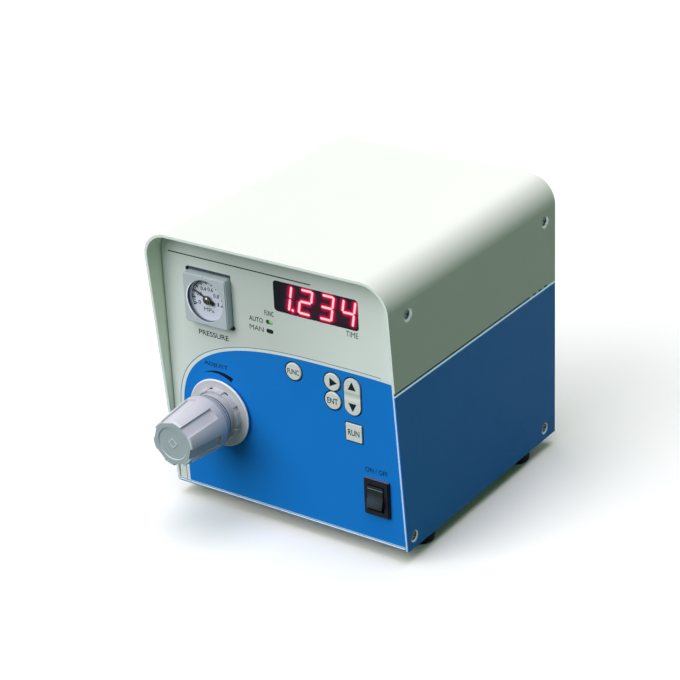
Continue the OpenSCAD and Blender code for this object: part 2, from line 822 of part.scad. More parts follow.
module adjusting_screw() {
    color("silver") place() at(reg_x, reg_z) {
        hex_rod(drive_af, collar_end - 8.5, collar_end - 0.4);
        rod(stem_r, collar_end - 0.4, spring_y + 5);
        rod(8.5, touch, spring_y);
    }
}

// Pressure spring: coils between the seat on the adjusting screw and the regulator's body
module regulator_spring() {
    coil_r = 6.5;
    wire_r = 0.8;
    turns = 5;
    first = spring_y + touch + wire_r;
    last = bonnet_end - wire_r;
    sides = 8;
    steps = 16 * turns;
    ring = function(i) let (a = 360 * i / 16, y = first + (last - first) * i / steps)
        [for (k = [0 : sides - 1]) let (b = 360 * k / sides, q = coil_r + wire_r * cos(b))
            [q * cos(a), y + wire_r * sin(b), q * sin(a)]];
    coil_points = [for (i = [0 : steps]) each ring(i)];
    skin = [for (i = [0 : steps - 1], k = [0 : sides - 1]) let (n = (k + 1) % sides)
        [i * sides + k, i * sides + n, (i + 1) * sides + n, (i + 1) * sides + k]];
    color("gray") place() at(reg_x, reg_z) polyhedron(coil_points,
        concat(skin, [[for (k = [sides - 1 : -1 : 0]) k]], [[for (k = [0 : sides - 1]) steps * sides + k]]));
}

module regulator_body() {
    color("darkgray") place() at(reg_x, reg_z) difference() {
        union() {
            block(reg_w, reg_w, bonnet_end, reg_back);
            rod(reg_w / 2 - 4, reg_back, reg_back + 7);
            hex_rod(12, reg_back + 7, reg_back + 10);
        }
        translate([0, supply_y, -reg_w / 2 - cut]) cylinder(r = port_r, h = port_d + cut);
        translate([reg_w / 2 - port_d, supply_y, 0]) rotate([0, 90, 0]) cylinder(r = port_r, h = port_d + cut);
        translate([gauge_x - reg_x, gauge_tube_y, reg_w / 2 - port_d]) cylinder(r = port_r, h = port_d + cut);
    }
}

// Power switch

// Rocker's outline in [y, z] about its pivot, level
function spun(p, a) = [p[0] * cos(a) - p[1] * sin(a), p[0] * sin(a) + p[1] * cos(a)];
rocker_end = [spun([-5.1, rocker_l], rocker_tilt), spun([1.5, rocker_l], rocker_tilt)];
module rocker_outline() {
    upper = [rocker_end[0], rocker_end[1], [3.4, 3]];
    polygon(concat([[-5.4, 0]], upper, [for (i = [2 : -1 : 0]) [upper[i][0], -upper[i][1]]]));
}

module switch_rocker() {
    color("black") place() translate([switch_x, pivot_y, switch_z]) rotate([-rocker_tilt, 0, 0]) {
        translate([-rocker_w / 2, 0, 0]) rotate([90, 0, 90]) linear_extrude(rocker_w) rocker_outline();
        translate([-rocker_w / 2 - 1, 0, 0]) rotate([0, 90, 0]) cylinder(r = 1, h = rocker_w + 2);
    }
}

module switch_body() {
    slot_w = rocker_w + 0.4;
    slot_h = 2 * rocker_l + 0.9;
    color("black") place() at(switch_x, switch_z) difference() {
        union() {
            plate(-bezel_t + 0.6, 0) round_rect(bezel_w, bezel_h, 1);
            plate(-bezel_t, -bezel_t + 0.6) round_rect(bezel_w - 1, bezel_h - 1, 0.8);
            block(switch_body_w, switch_body_h, 0, switch_depth);
            for (z = [-5, 5]) at(0, z) block(4.8, 0.8, switch_depth, switch_depth + blade_l);
        }
        block(slot_w, slot_h, -bezel_t - cut, 8);
        translate([-slot_w / 2 - 1, pivot_y, 0]) rotate([0, 90, 0])
            cylinder(r = 1 + run_fit, h = slot_w + 2);
    }
}

// Valve, fittings and tubes

module valve_block() {
    color("silver") place() translate([valve_x, 0, reg_z]) difference() {
        union() {
            block(valve_w, valve_h, valve_y, valve_y + valve_d);
            translate([0, exhaust_y, valve_h / 2]) cylinder(r = 8, h = 2);
        }
        at(press_x - valve_x, 0) {
            rod(port_r, valve_y - cut, valve_y + port_d);
            rod(port_r, valve_y + valve_d - port_d, valve_y + valve_d + cut);
        }
        translate([-valve_w / 2 - cut, exhaust_y, 0]) rotate([0, 90, 0]) cylinder(r = port_r, h = port_d + cut);
    }
}

coil_z = reg_z + valve_h / 2 + 2;
coil_w = 22;
coil_d = 20;
coil_h = 32;
module valve_coil() {
    color("black") place() translate([valve_x, exhaust_y, coil_z]) {
        translate([-coil_w / 2, -coil_d / 2, 0]) cube([coil_w, coil_d, coil_h]);
        cylinder(r = 4.5, h = coil_h + 3);
        translate([0, 0, coil_h]) cylinder(r = 6, h = 2, $fn = 6);
    }
}

module valve_bracket() {
    sheet = panel_t;
    top = reg_z - valve_h / 2;
    color("silver") place() translate([valve_x, exhaust_y, 0]) difference() {
        union() {
            translate([-valve_w / 2, -valve_d / 2, top - sheet]) cube([valve_w, valve_d, sheet]);
            for (s = [-1, 1]) {
                translate([s * (valve_w - sheet) / 2 - sheet / 2, -valve_d / 2, pan_z])
                    cube([sheet, valve_d, top - pan_z]);
                translate([s * (valve_w + bracket_foot - 1) / 2, 0, pan_z + sheet / 2])
                    cube([bracket_foot + 1, valve_d, sheet], center = true);
            }
        }
        for (s = [-1, 1]) translate([s * (valve_w + bracket_foot) / 2, 0, 0])
            cylinder(r = small_screw_r + 0.1, h = 10);
    }
}

// A straight push-in fitting along Z, its hexagon seated at z = 0 and its thread below
module straight_fitting() {
    difference() {
        union() {
            translate([0, 0, -thread_l]) cylinder(r = port_r - 0.1, h = thread_l);
            cylinder(r = fitting_r * 1.15, h = 3, $fn = 6);
            cylinder(r = fitting_r, h = fitting_l - 1);
            cylinder(r = fitting_r - 1, h = fitting_l);
        }
        translate([0, 0, fitting_l - grip]) cylinder(r = tube_r + run_fit, h = grip + cut);
        translate([0, 0, -thread_l - cut]) cylinder(r = 1.2, h = fitting_l + thread_l);
    }
}

module port_fittings() {
    color("white") place() {
        translate([reg_x, supply_y, reg_z - reg_w / 2]) rotate([180, 0, 0]) straight_fitting();
        translate([reg_x + reg_w / 2, supply_y, reg_z]) rotate([0, 90, 0]) straight_fitting();
        translate([gauge_x, gauge_tube_y, reg_z + reg_w / 2]) straight_fitting();
        translate([gauge_x, gauge_port_y, gauge_z]) rotate([-90, 0, 0]) straight_fitting();
        translate([press_x, valve_y, reg_z]) rotate([90, 0, 0]) straight_fitting();
        translate([press_x, valve_y + valve_d, reg_z]) rotate([-90, 0, 0]) straight_fitting();
        translate([valve_x - valve_w / 2, exhaust_y, reg_z]) rotate([0, -90, 0]) straight_fitting();
    }
}

tube_colour = "deepskyblue";
bulk_seat = rear_in - bulk_in + grip;
module supply_tube() {
    color(tube_colour) place() bent_rod([[reg_x, supply_y, reg_z - reg_w / 2 - fitting_l + grip],
        [reg_x, supply_y, in_z], [reg_x, bulk_seat, in_z]], tube_r, tube_bend);
}
module pressure_tube() {
    color(tube_colour) place() bent_rod([[reg_x + reg_w / 2 + fitting_l - grip, supply_y, reg_z],
        [press_x, supply_y, reg_z], [press_x, valve_y - fitting_l + grip, reg_z]], tube_r, tube_bend);
}
module gauge_tube() {
    color(tube_colour) place() bent_rod([[gauge_x, gauge_tube_y, reg_z + reg_w / 2 + fitting_l - grip],
        [gauge_x, gauge_tube_y, gauge_z], [gauge_x, gauge_port_y + fitting_l - grip, gauge_z]],
        tube_r, tube_bend);
}
module outlet_tube() {
    color(tube_colour) place() bent_rod([[press_x, valve_y + valve_d + fitting_l - grip, reg_z],
        [press_x, bulk_seat, reg_z]], tube_r, tube_bend);
}
module exhaust_tube() {
    color(tube_colour) place() bent_rod([[valve_x - valve_w / 2 - fitting_l + grip, exhaust_y, reg_z],
        [exhaust_x, exhaust_y, reg_z], [exhaust_x, bulk_seat, reg_z]], tube_r, tube_bend);
}

// Boards

// The control board carries a processor, a driver chip and four plugs, and its header meets
// the display board
wire_x = jack_x + 12;
wire_z = board_z0 + 12;
jack_wire_z = jack_z + 16;
coil_wire_x = board_x0 + 8;
coil_wire_z = coil_z + 20;
module control_board() {
    back = control_y + board_t;
    color("darkgreen") place() {
        difference() {
            plate(control_y, back) board_outline();
            spacer_places() rod(small_screw_r + 0.1, control_y - cut, back + cut);
        }
        at(window_x, window_z - 15) block(14, 14, back, back + 2);
        at(set_x, row_z + 4) block(24, 9, back, back + 3);
        for (p = [[wire_x, wire_z], [jack_x, jack_wire_z], [coil_wire_x, coil_wire_z]])
            at(p[0], p[1]) block(9, connector_h, back, back + connector_h);
        at(window_x, row_z + 12) block(30, 5, board_y + board_t, control_y);
    }
}

module supply_board() {
    color("darkgoldenrod") place() difference() {
        translate([supply_x0, supply_y0, supply_z])
            cube([supply_x1 - supply_x0, supply_y1 - supply_y0, board_t]);
        supply_spacer_places() cylinder(r = small_screw_r + 0.1, h = supply_z + 5);
    }
}

// Transformer, capacitors, heat sink and three plugs
coil_pack_w = 24;
coil_pack_h = 22;
plug_w = 12;
plug_h = 9;
module supply_parts() {
    middle = (supply_x0 + supply_x1) / 2;
    pack_y = supply_y0 + 22;
    color("goldenrod") place() translate([0, 0, supply_top]) {
        translate([middle - 11, pack_y, 0]) cube([coil_pack_w, coil_pack_w, coil_pack_h]);
        translate([middle - 17, pack_y, 0]) cube([3, coil_pack_w - 2, coil_pack_h - 2]);
        translate([middle - plug_w, supply_y1 - 16, 0]) cylinder(r = 5, h = coil_pack_h - 4);
        translate([middle + plug_w, supply_y1 - 16, 0]) cylinder(r = 6, h = coil_pack_h);
        translate([wire_x - plug_w / 2, supply_y0 + 10, 0]) cube([plug_w, 6, plug_h]);
        translate([inlet_x - blade_x - plug_w / 2, supply_y1 - 8, 0]) cube([plug_w, 8, plug_h]);
        translate([switch_x - plug_w, supply_y0, 0]) cube([plug_w + 2, 7, plug_h]);
    }
}

// A lead with its route's corners at right angles
wire_r = 0.9;
module lead(points) { bent_rod(points, wire_r, 2.5); }

// A wire that leaves both its ends along Y and slants across between them
module slant_lead(from, to, stub) {
    a = from - [0, stub, 0];
    b = to + [0, stub, 0];
    bar_between(from, a, wire_r);
    bar_between(a, b, wire_r);
    bar_between(b, to, wire_r);
    for (p = [a, b]) translate(p) sphere(r = wire_r + 0.1, $fn = 32);
}

// Live by way of the fuse and the switch, neutral, and earth to a screw of the tray
module mains_wires() {
    inlet_y = rear_in - inlet_d - blade_l;
    fuse_y = rear_in - fuse_l - 6;
    side_x = case_w / 2 - 7;
    switch_y = switch_depth + blade_l;
    low = supply_top + plug_h / 2;
    live_x = inlet_x + blade_x;
    neutral_x = inlet_x - blade_x;
    blade_z = inlet_z + 1;
    earth_y = rear_out - flange_d + 5;
    color("white") place() {
        lead([[live_x, inlet_y, blade_z], [live_x, fuse_y - 4, blade_z], [live_x, fuse_y - 4, fuse_z],
            [inlet_x, fuse_y - 4, fuse_z], [inlet_x, fuse_y, fuse_z]]);
        lead([[inlet_x + fuse_r, rear_in - 18, fuse_z], [side_x, rear_in - 18, fuse_z],
            [side_x, switch_y + 6, fuse_z], [side_x, switch_y + 6, switch_z + 5],
            [switch_x, switch_y + 6, switch_z + 5], [switch_x, switch_y, switch_z + 5]]);
        lead([[neutral_x, inlet_y, blade_z], [neutral_x, inlet_y - 6, blade_z],
            [neutral_x, inlet_y - 6, low], [neutral_x, supply_y1, low]]);
        lead([[switch_x, switch_y, switch_z - 5], [switch_x, switch_y + 8, switch_z - 5],
            [switch_x, switch_y + 8, low], [switch_x, supply_y0, low]]);
        lead([[inlet_x, inlet_y, inlet_z + 5], [inlet_x, inlet_y - 4, inlet_z + 5],
            [tray_screw_x, inlet_y - 4, inlet_z + 5], [tray_screw_x, inlet_y - 4, pan_z + 2.8],
            [tray_screw_x, earth_y - 2.7, pan_z + 2.8]]);
    }
}

module control_wires() {
    color("red") place() {
        plug_y = control_y + board_t + connector_h;
        jack_y = rear_in - jack_d;
        lead([[wire_x, supply_y0 + 13, supply_top + plug_h], [wire_x, supply_y0 + 13, wire_z],
            [wire_x, plug_y, wire_z]]);
        slant_lead([valve_x, exhaust_y - coil_d / 2, coil_wire_z], [coil_wire_x, plug_y, coil_wire_z], 5);
        lead([[jack_x, jack_y, jack_z], [jack_x, jack_y - 6, jack_z], [jack_x, jack_y - 6, jack_wire_z],
            [jack_x, plug_y, jack_wire_z]]);
    }
}

// Back

module power_inlet() {
    color("black") place() at(inlet_x, inlet_z) difference() {
        union() {
            plate(rear_out, rear_out + 2) round_rect(inlet_flange_w, inlet_h + 3, 3);
            block(inlet_w, inlet_h, rear_in - inlet_d, rear_out);
        }
        plate(rear_out + 2 - cavity_d, rear_out + 2 + cut) polygon([[-cavity_w / 2, cavity_h / 2],
            [cavity_w / 2, cavity_h / 2], [cavity_w / 2, -cavity_h / 2 + 4], [cavity_w / 2 - 4, -cavity_h / 2],
            [-cavity_w / 2 + 4, -cavity_h / 2], [-cavity_w / 2, -cavity_h / 2 + 4]]);
        for (s = [-1, 1]) at(inlet_screw_x * s, 0) rod(small_screw_r + 0.1, rear_in - cut, rear_out + 2 + cut);
        inlet_blades(0.05, rear_in - inlet_d - cut, rear_out);
    }
}

// The three contacts, from y0 to y1
module inlet_blades(grow, y0, y1) {
    for (s = [-1, 1]) at(blade_x * s, 1) block(blade_t + 2 * grow, blade_w + 2 * grow, y0, y1);
    at(0, blade_w + 1) block(blade_t + 2 * grow, blade_w + 2 * grow, y0, y1);
}
module inlet_pins() {
    color("silver") place() at(inlet_x, inlet_z) {
        inlet_blades(0, rear_in - inlet_d - blade_l, rear_out - 2);
    }
}

module fuse_holder() {
    color("black") place() at(inlet_x, fuse_z) difference() {
        union() {
            rod(fuse_cap_r, rear_out, rear_out + 2);
            rod(fuse_r, rear_in - fuse_l, rear_out);
            block(3, 1, rear_in - fuse_l - 6, rear_in - fuse_l);
        }
        rod(fuse_bore_r, rear_in - fuse_l + 4, rear_out + 2 + cut);
    }
}

module fuse_cap() {
    color("black") place() at(inlet_x, fuse_z) difference() {
        union() {
            rod(fuse_cap_r - 1, rear_out + 2 + touch, rear_out + 9);
            rod(fuse_bore_r - run_fit, rear_in - 4, rear_out + 2 + touch);
        }
        block(9, 1.4, rear_out + 8, rear_out + 9 + cut);
    }
}

module foot_switch_jack() {
    color("silver") place() at(jack_x, jack_z) difference() {
        union() {
            rod(bulk_r, rear_in, rear_out + 4);
            rod(bulk_r + 2, rear_out, rear_out + 1.5);
            block(15, 13, rear_in - jack_d, rear_in - 0.5);
            rod(bulk_r, rear_in - 0.5, rear_in);
        }
        rod(jack_r, rear_in - jack_d + 2, rear_out + 4 + cut);
    }
}

// A bulkhead push-in fitting through the rear panel
module bulkhead() {
    difference() {
        union() {
            rod(bulk_r, rear_in - bulk_in, rear_out);
            hex_rod(bulk_hex, rear_out, rear_out + 5);
            turned([[0, rear_out + 5], [bulk_r + 0.6, rear_out + 5], [bulk_r + 0.6, rear_out + 9.4],
                [bulk_r, rear_out + 10], [0, rear_out + 10]]);
        }
        rod(1.5, rear_in - bulk_in - cut, rear_out + 10);
        rod(tube_r + run_fit, rear_in - bulk_in - cut, bulk_seat);
        rod(hose_r + run_fit, rear_in - 4, rear_out + 10);
        rod(hose_r + 1.6, rear_out + 4.2, rear_out + 10 + cut);
    }
}

// The collar that lets the hose go when it is pushed in
module release_collar() {
    outer = hose_r + 1.6 - run_fit;
    turned([[hose_r + 0.15, rear_out + 5.4], [outer, rear_out + 5.4], [outer, rear_out + 10 + collar_out - 0.6],
        [outer + 0.9, rear_out + 10 + collar_out - 0.6], [outer + 0.9, rear_out + 10 + collar_out + 0.4],
        [hose_r + 0.6, rear_out + 10 + collar_out + 0.4], [hose_r + 0.15, rear_out + 10 + collar_out]]);
}

module air_in_fitting() { color("white") place() at(reg_x, in_z) bulkhead(); }
module air_out_fitting() { color("white") place() at(press_x, reg_z) bulkhead(); }
module air_in_collar() { color("royalblue") place() at(reg_x, in_z) release_collar(); }
module air_out_collar() { color("royalblue") place() at(press_x, reg_z) release_collar(); }

module exhaust_silencer() {
    color("tan") place() at(exhaust_x, reg_z) difference() {
        union() {
            rod(bulk_r, rear_in - bulk_in, rear_out);
            hex_rod(bulk_hex, rear_out, rear_out + 4);
            turned([[0, rear_out + 4], [bulk_r - 0.4, rear_out + 4], [bulk_r - 0.4, silencer_end - 2],
                [bulk_r - 2.4, silencer_end], [0, silencer_end]]);
        }
        rod(1.5, rear_in - bulk_in - cut, silencer_end - 3);
        rod(tube_r + run_fit, rear_in - bulk_in - cut, bulk_seat);
    }
}

module fitting_nuts() {
    color("silver") place()
        for (p = [[reg_x, in_z], [press_x, reg_z], [exhaust_x, reg_z]]) at(p[0], p[1]) difference() {
            hex_rod(bulk_hex, rear_in - 4, rear_in);
            rod(bulk_r + run_fit, rear_in - 4 - cut, rear_in + cut);
        }
}

cover();
base_tray();
front_panel();
panel_overlay();
rear_panel();
feet();
foot_screws();
cover_screws();
inner_screws();
display_window();
digit_display();
display_board();
board_spacers();
timer_lamp();
free_lamp();
key_mode();
key_right();
key_set();
key_up_down();
key_test();
tact_switches();
key_fulcrum();
gauge_case();
gauge_dial();
gauge_pointer();
gauge_lens();
regulator_body();
regulator_bonnet();
regulator_nut();
regulator_knob();
adjusting_screw();
regulator_spring();
switch_body();
switch_rocker();
valve_block();
valve_coil();
valve_bracket();
port_fittings();
supply_tube();
pressure_tube();
gauge_tube();
outlet_tube();
exhaust_tube();
control_board();
supply_board();
supply_parts();
power_inlet();
inlet_pins();
fuse_holder();
fuse_cap();
foot_switch_jack();
air_in_fitting();
air_in_collar();
air_out_fitting();
air_out_collar();
exhaust_silencer();
fitting_nuts();
mains_wires();
control_wires();
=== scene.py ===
import math
from functools import cache

import bpy
from bpy.props import FloatProperty, FloatVectorProperty, IntProperty, PointerProperty
from mathutils import Matrix, Vector


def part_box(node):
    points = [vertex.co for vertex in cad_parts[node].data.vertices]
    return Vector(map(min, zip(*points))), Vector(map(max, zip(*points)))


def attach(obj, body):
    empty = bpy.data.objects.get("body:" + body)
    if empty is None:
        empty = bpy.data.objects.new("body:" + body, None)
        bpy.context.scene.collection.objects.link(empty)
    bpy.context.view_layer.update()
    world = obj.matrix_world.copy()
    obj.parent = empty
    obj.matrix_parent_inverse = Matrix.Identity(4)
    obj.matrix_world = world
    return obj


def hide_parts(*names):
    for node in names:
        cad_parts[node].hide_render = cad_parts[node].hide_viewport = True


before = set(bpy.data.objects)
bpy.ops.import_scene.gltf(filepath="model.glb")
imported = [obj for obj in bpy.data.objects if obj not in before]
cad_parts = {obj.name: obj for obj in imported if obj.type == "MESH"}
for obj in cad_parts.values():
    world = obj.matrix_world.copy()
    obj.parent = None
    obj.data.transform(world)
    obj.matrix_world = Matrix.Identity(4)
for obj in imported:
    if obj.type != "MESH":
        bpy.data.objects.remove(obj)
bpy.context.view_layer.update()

bl_info = {
    "name": "Desktop dispenser",
    "version": (1, 0, 0),
    "blender": (4, 5, 0),
    "location": "View3D > Sidebar > Dispenser",
    "description": "Dresses an air-pulse dispenser: painted case, printed panel, gauge, display and keys",
    "category": "Object",
}

MM = 0.001

# The panel's face, the cover's lower edge and right side, and the desk, in metres
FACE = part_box("panel_overlay")[0].y
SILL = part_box("cover")[0].z
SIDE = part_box("cover")[1].x
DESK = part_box("feet")[0].z

# Sizes in millimetres; a place on the panel is right of its middle and above the cover's lower edge
KEYS = ("mode", "right", "set", "up_down", "test")
KEY_RING_W = 0.75
SCREW_HEAD_R = 3.3
NUT_X, NUT_Z = -40.2, 50.2
KNOB_FLAT_R = 12.0
TRIM_Z, TRIM_H = 90.3, 1.1
# Right edge of the first digit, and the middle line of all four
DIGIT_X, DIGIT_Z = 8.75, 125.4
# The blue field's outline is a superellipse: middle, half width, rise and exponent
ARCH_X, ARCH_Z = 34.0, 40.0
ARCH_HALF_W, ARCH_RISE = 99.5, 53.15
ARCH_POWER = 2.92
# The gauge's scale in degrees: where it starts, anticlockwise from the right, and how far it sweeps
SCALE_START, SCALE_SWEEP = 205.0, 220.0
# Light that reaches the object from all round, red, green and blue
AMBIENT = (0.10, 0.197, 0.118)

# Finishes that several materials share; the orange peel of baked paint has crests 1.5 mm apart
BAKED_PAINT = {"roughness": 0.42, "grain": 1.5, "depth": 0.006, "Specular_IOR_Level": 0.08}
KEY_ABS = {"roughness": 0.5, "grain": 0.35, "depth": 0.004, "Specular_IOR_Level": 0.35}
ACETAL = {"roughness": 0.42, "grain": 0.5, "depth": 0.005, "Specular_IOR_Level": 0.3}
BLACK_ABS = {"roughness": 0.42, "grain": 0.4, "depth": 0.008, "Specular_IOR_Level": 0.12}

LENGTH = {"subtype": "DISTANCE", "unit": "LENGTH"}
COLOUR = {"size": 3, "min": 0, "max": 1, "subtype": "COLOR"}


def spot(x, z):
    """A point on the panel's face, from its place on the panel in millimetres."""
    return Vector((x * MM, FACE, SILL + z * MM))


def on_panel(point):
    """A point's place on the panel in millimetres."""
    return point.x / MM, (point.z - SILL) / MM


def middle(node):
    low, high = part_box(node)
    return (low + high) / 2


def half_width(node):
    """Half of a node's width in millimetres."""
    low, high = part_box(node)
    return (high.x - low.x) / 2 / MM


def linear(colour):
    """Turns an sRGB hex colour into linear red, green and blue; any other colour is linear already."""
    if not isinstance(colour, str):
        return tuple(colour)
    shares = [int(colour[i:i + 2], 16) / 255 for i in (1, 3, 5)]
    return tuple(c / 12.92 if c <= 0.04045 else ((c + 0.055) / 1.055) ** 2.4 for c in shares)


def opaque(colour):
    return (*linear(colour), 1.0)


class DispenserSizes(bpy.types.PropertyGroup):
    """Sizes that a user may change"""
    sheet_edge: FloatProperty(
        name="Sheet edge", description="Rounding of the painted sheet's cut edges",
        default=0.4 * MM, min=0.05 * MM, max=0.7 * MM, **LENGTH)
    moulded_edge: FloatProperty(
        name="Moulded edge", description="Rounding of the plastic pieces' corners",
        default=0.3 * MM, min=0.05 * MM, max=0.5 * MM, **LENGTH)
    cap_edge: FloatProperty(
        name="Key edge", description="Rounding of the key caps",
        default=0.25 * MM, min=0.05 * MM, max=0.35 * MM, **LENGTH)
    ink_height: FloatProperty(
        name="Ink height", description="How far the printed marks stand off the surface they are on",
        default=0.02 * MM, min=0.005 * MM, max=0.05 * MM, **LENGTH)
    digit_pitch: FloatProperty(
        name="Digit pitch", description="Distance from one digit of the display to the next",
        default=12.7 * MM, min=12.0 * MM, max=13.0 * MM, **LENGTH)
    segment_width: FloatProperty(
        name="Segment width", description="Width of a lit segment of the display",
        default=2.3 * MM, min=1.8 * MM, max=2.6 * MM, **LENGTH)
    digit_lean: FloatProperty(
        name="Digit lean", description="How far the digits lean to the right",
        default=math.radians(9.7), min=0.0, max=math.radians(12), subtype="ANGLE", unit="ROTATION")
    lit_lamp: IntProperty(
        name="Lit lamp", description="Which of the two mode lamps is lit, 1 for the upper one",
        default=1, min=1, max=2)


class DispenserColours(bpy.types.PropertyGroup):
    """Colours that a user may change"""
    cover_cream: FloatVectorProperty(
        name="Cover cream", description="Paint of the cover and the panels",
        default=linear("#E4E6E2"), **COLOUR)
    film_grey: FloatVectorProperty(
        name="Film grey", description="Ground of the film on the front panel",
        default=linear("#D3D9D9"), **COLOUR)
    blue: FloatVectorProperty(
        name="Blue", description="Printed blue of the panel and the cover's sides",
        default=linear("#187DDA"), **COLOUR)
    ink: FloatVectorProperty(
        name="Ink", description="Dark blue-grey of the panel's printed marks",
        default=linear("#0C1822"), **COLOUR)
    knob: FloatVectorProperty(
        name="Knob grey", description="Plastic of the regulator's knob and ring nut",
        default=linear("#C9C8D1"), **COLOUR)
    key: FloatVectorProperty(
        name="Key white", description="Plastic of the key caps",
        default=linear("#DADFDF"), **COLOUR)
    digits: FloatVectorProperty(
        name="Digit red", description="Light of the display",
        default=linear("#EE1444"), **COLOUR)
    lamp: FloatVectorProperty(
        name="Lamp green", description="Light of the lit mode lamp",
        default=linear("#3FA842"), **COLOUR)


def sizes():
    return bpy.context.scene.dispenser_sizes


def colours():
    return bpy.context.scene.dispenser_colours


# Building materials

def feed(tree, node, inputs):
    """Gives a node's inputs values, or links from other nodes' outputs; a hex value is a colour."""
    for key, value in inputs.items():
        if isinstance(value, bpy.types.NodeSocket):
            tree.links.new(value, node.inputs[key])
        else:
            node.inputs[key].default_value = opaque(value) if isinstance(value, str) else value


def add(tree, kind, inputs=None, **settings):
    """Adds a node, sets it up and feeds its inputs."""
    node = tree.nodes.new("ShaderNode" + kind)
    for key, value in settings.items():
        setattr(node, key, value)
    feed(tree, node, inputs or {})
    return node


def blank(name):
    """An opened material: its node tree, its surface shader and its place on the object."""
    material = bpy.data.materials.new(name)
    material.use_nodes = True
    tree = material.node_tree
    tree.nodes.clear()
    shader = add(tree, "BsdfPrincipled")
    add(tree, "OutputMaterial", {"Surface": shader.outputs["BSDF"]})
    return material, tree, shader, add(tree, "TexCoord").outputs["Object"]


def mottled(tree, place, colour, share, patch):
    """A colour that drifts by this share darker and lighter, over patches this many millimetres wide."""
    scale = 1 / (patch * MM)
    drift = add(tree, "TexNoise", {"Vector": place, "Scale": scale, "Detail": 4.0, "Roughness": 0.55})
    dark, light = (opaque([min(1, c * (1 + way * share)) for c in linear(colour)]) for way in (-1, 1))
    return add(tree, "Mix", {0: drift.outputs["Fac"], 6: dark, 7: light}, data_type="RGBA").outputs[2]


def surface(tree, shader, place, tone, roughness, grain, depth, spread=0.06, stretch=(1, 1, 1),
            coats=(), relief=None, **sockets):
    """Gives a shader its colour, its fine grain and its other inputs.

    Each coat is a colour that lies over the ones before it where its mask is 1. The grain is this
    many millimetres from crest to crest and this deep, and the roughness wanders with it by the
    spread. A relief is the normal of a larger shape that the grain lies on.
    """
    for mask, coat in coats:
        tone = add(tree, "Mix", {0: mask, 6: tone, 7: coat}, data_type="RGBA").outputs[2]
    laid = add(tree, "Mapping", {"Vector": place, "Scale": stretch}).outputs["Vector"]
    scale = 1 / (grain * MM)
    fine = add(tree, "TexNoise", {"Vector": laid, "Scale": scale, "Detail": 3.0, "Roughness": 0.6})
    height = fine.outputs["Fac"]
    bump = add(tree, "Bump", {"Height": height, "Distance": depth * MM, "Strength": 0.6})
    if relief is not None:
        feed(tree, bump, {"Normal": relief})
    wander = add(tree, "MapRange", {"Value": height, "From Min": 0.3, "From Max": 0.7,
                                    "To Min": roughness - spread, "To Max": roughness + spread})
    feed(tree, shader, {"Base Color": tone, "Normal": bump.outputs["Normal"],
                        "Roughness": wander.outputs["Result"]})
    feed(tree, shader, {key.replace("_", " "): value for key, value in sockets.items()})


def finish(name, colour, share, patch, **finishing):
    """A material of one substance, with a slow drift of its colour."""
    material, tree, shader, place = blank(name)
    surface(tree, shader, place, mottled(tree, place, colour, share, patch), **finishing)
    return material


def band(tree, value, low=None, high=None, within=None):
    """1 where a value is over one number, under another and inside another mask, of those given."""
    for limit, operation in ((low, "GREATER_THAN"), (high, "LESS_THAN")):
        if limit is not None:
            mask = add(tree, "Math", {0: value, 1: limit}, operation=operation).outputs[0]
            if within is not None:
                mask = add(tree, "Math", {0: within, 1: mask}, operation="MULTIPLY").outputs[0]
            within = mask
    return within


def distance(tree, value, centre):
    """How far a coordinate is from a number, both in metres."""
    offset = add(tree, "Math", {0: value, 1: centre}, operation="SUBTRACT").outputs[0]
    return add(tree, "Math", {0: offset}, operation="ABSOLUTE").outputs[0]


def reach_mask(tree, axes, x, z, reach, half_x=0.0, half_z=0.0):
    """1 within this reach of a place on the panel, or of a line or block about it, in millimetres."""
    squares = []
    for value, centre, half in ((axes["X"], x * MM, half_x), (axes["Z"], SILL + z * MM, half_z)):
        away = distance(tree, value, centre)
        away = add(tree, "Math", {0: away, 1: half * MM}, operation="SUBTRACT").outputs[0]
        away = add(tree, "Math", {0: away, 1: 0.0}, operation="MAXIMUM").outputs[0]
        squares.append(add(tree, "Math", {0: away, 1: away}, operation="MULTIPLY").outputs[0])
    total = add(tree, "Math", {0: squares[0], 1: squares[1]}, operation="ADD").outputs[0]
    return band(tree, total, high=(reach * MM) ** 2)


def arch_mask(tree, axes, spread):
    """1 inside the rounded outline of the panel's blue field, grown by this many millimetres."""
    rise = add(tree, "Math", {0: axes["Z"], 1: SILL + ARCH_Z * MM}, operation="SUBTRACT").outputs[0]
    rise = add(tree, "Math", {0: rise, 1: 0.0}, operation="MAXIMUM").outputs[0]
    powers = []
    for away, reach in ((distance(tree, axes["X"], ARCH_X * MM), ARCH_HALF_W + spread),
                        (rise, ARCH_RISE + 0.8 * spread)):
        share = add(tree, "Math", {0: away, 1: reach * MM}, operation="DIVIDE").outputs[0]
        powers.append(add(tree, "Math", {0: share, 1: ARCH_POWER}, operation="POWER").outputs[0])
    total = add(tree, "Math", {0: powers[0], 1: powers[1]}, operation="ADD").outputs[0]
    return band(tree, total, high=1.0)


def circle_through(one, two, three):
    """Centre and radius of the circle through three points."""
    (ax, ay), (bx, by), (cx, cy) = one, two, three
    a, b, c = (x ** 2 + y ** 2 for x, y in (one, two, three))
    area = 2 * (ax * (by - cy) + bx * (cy - ay) + cx * (ay - by))
    x = (a * (by - cy) + b * (cy - ay) + c * (ay - by)) / area
    y = (a * (cx - bx) + b * (ax - cx) + c * (bx - ax)) / area
    return x, y, math.hypot(ax - x, ay - y)


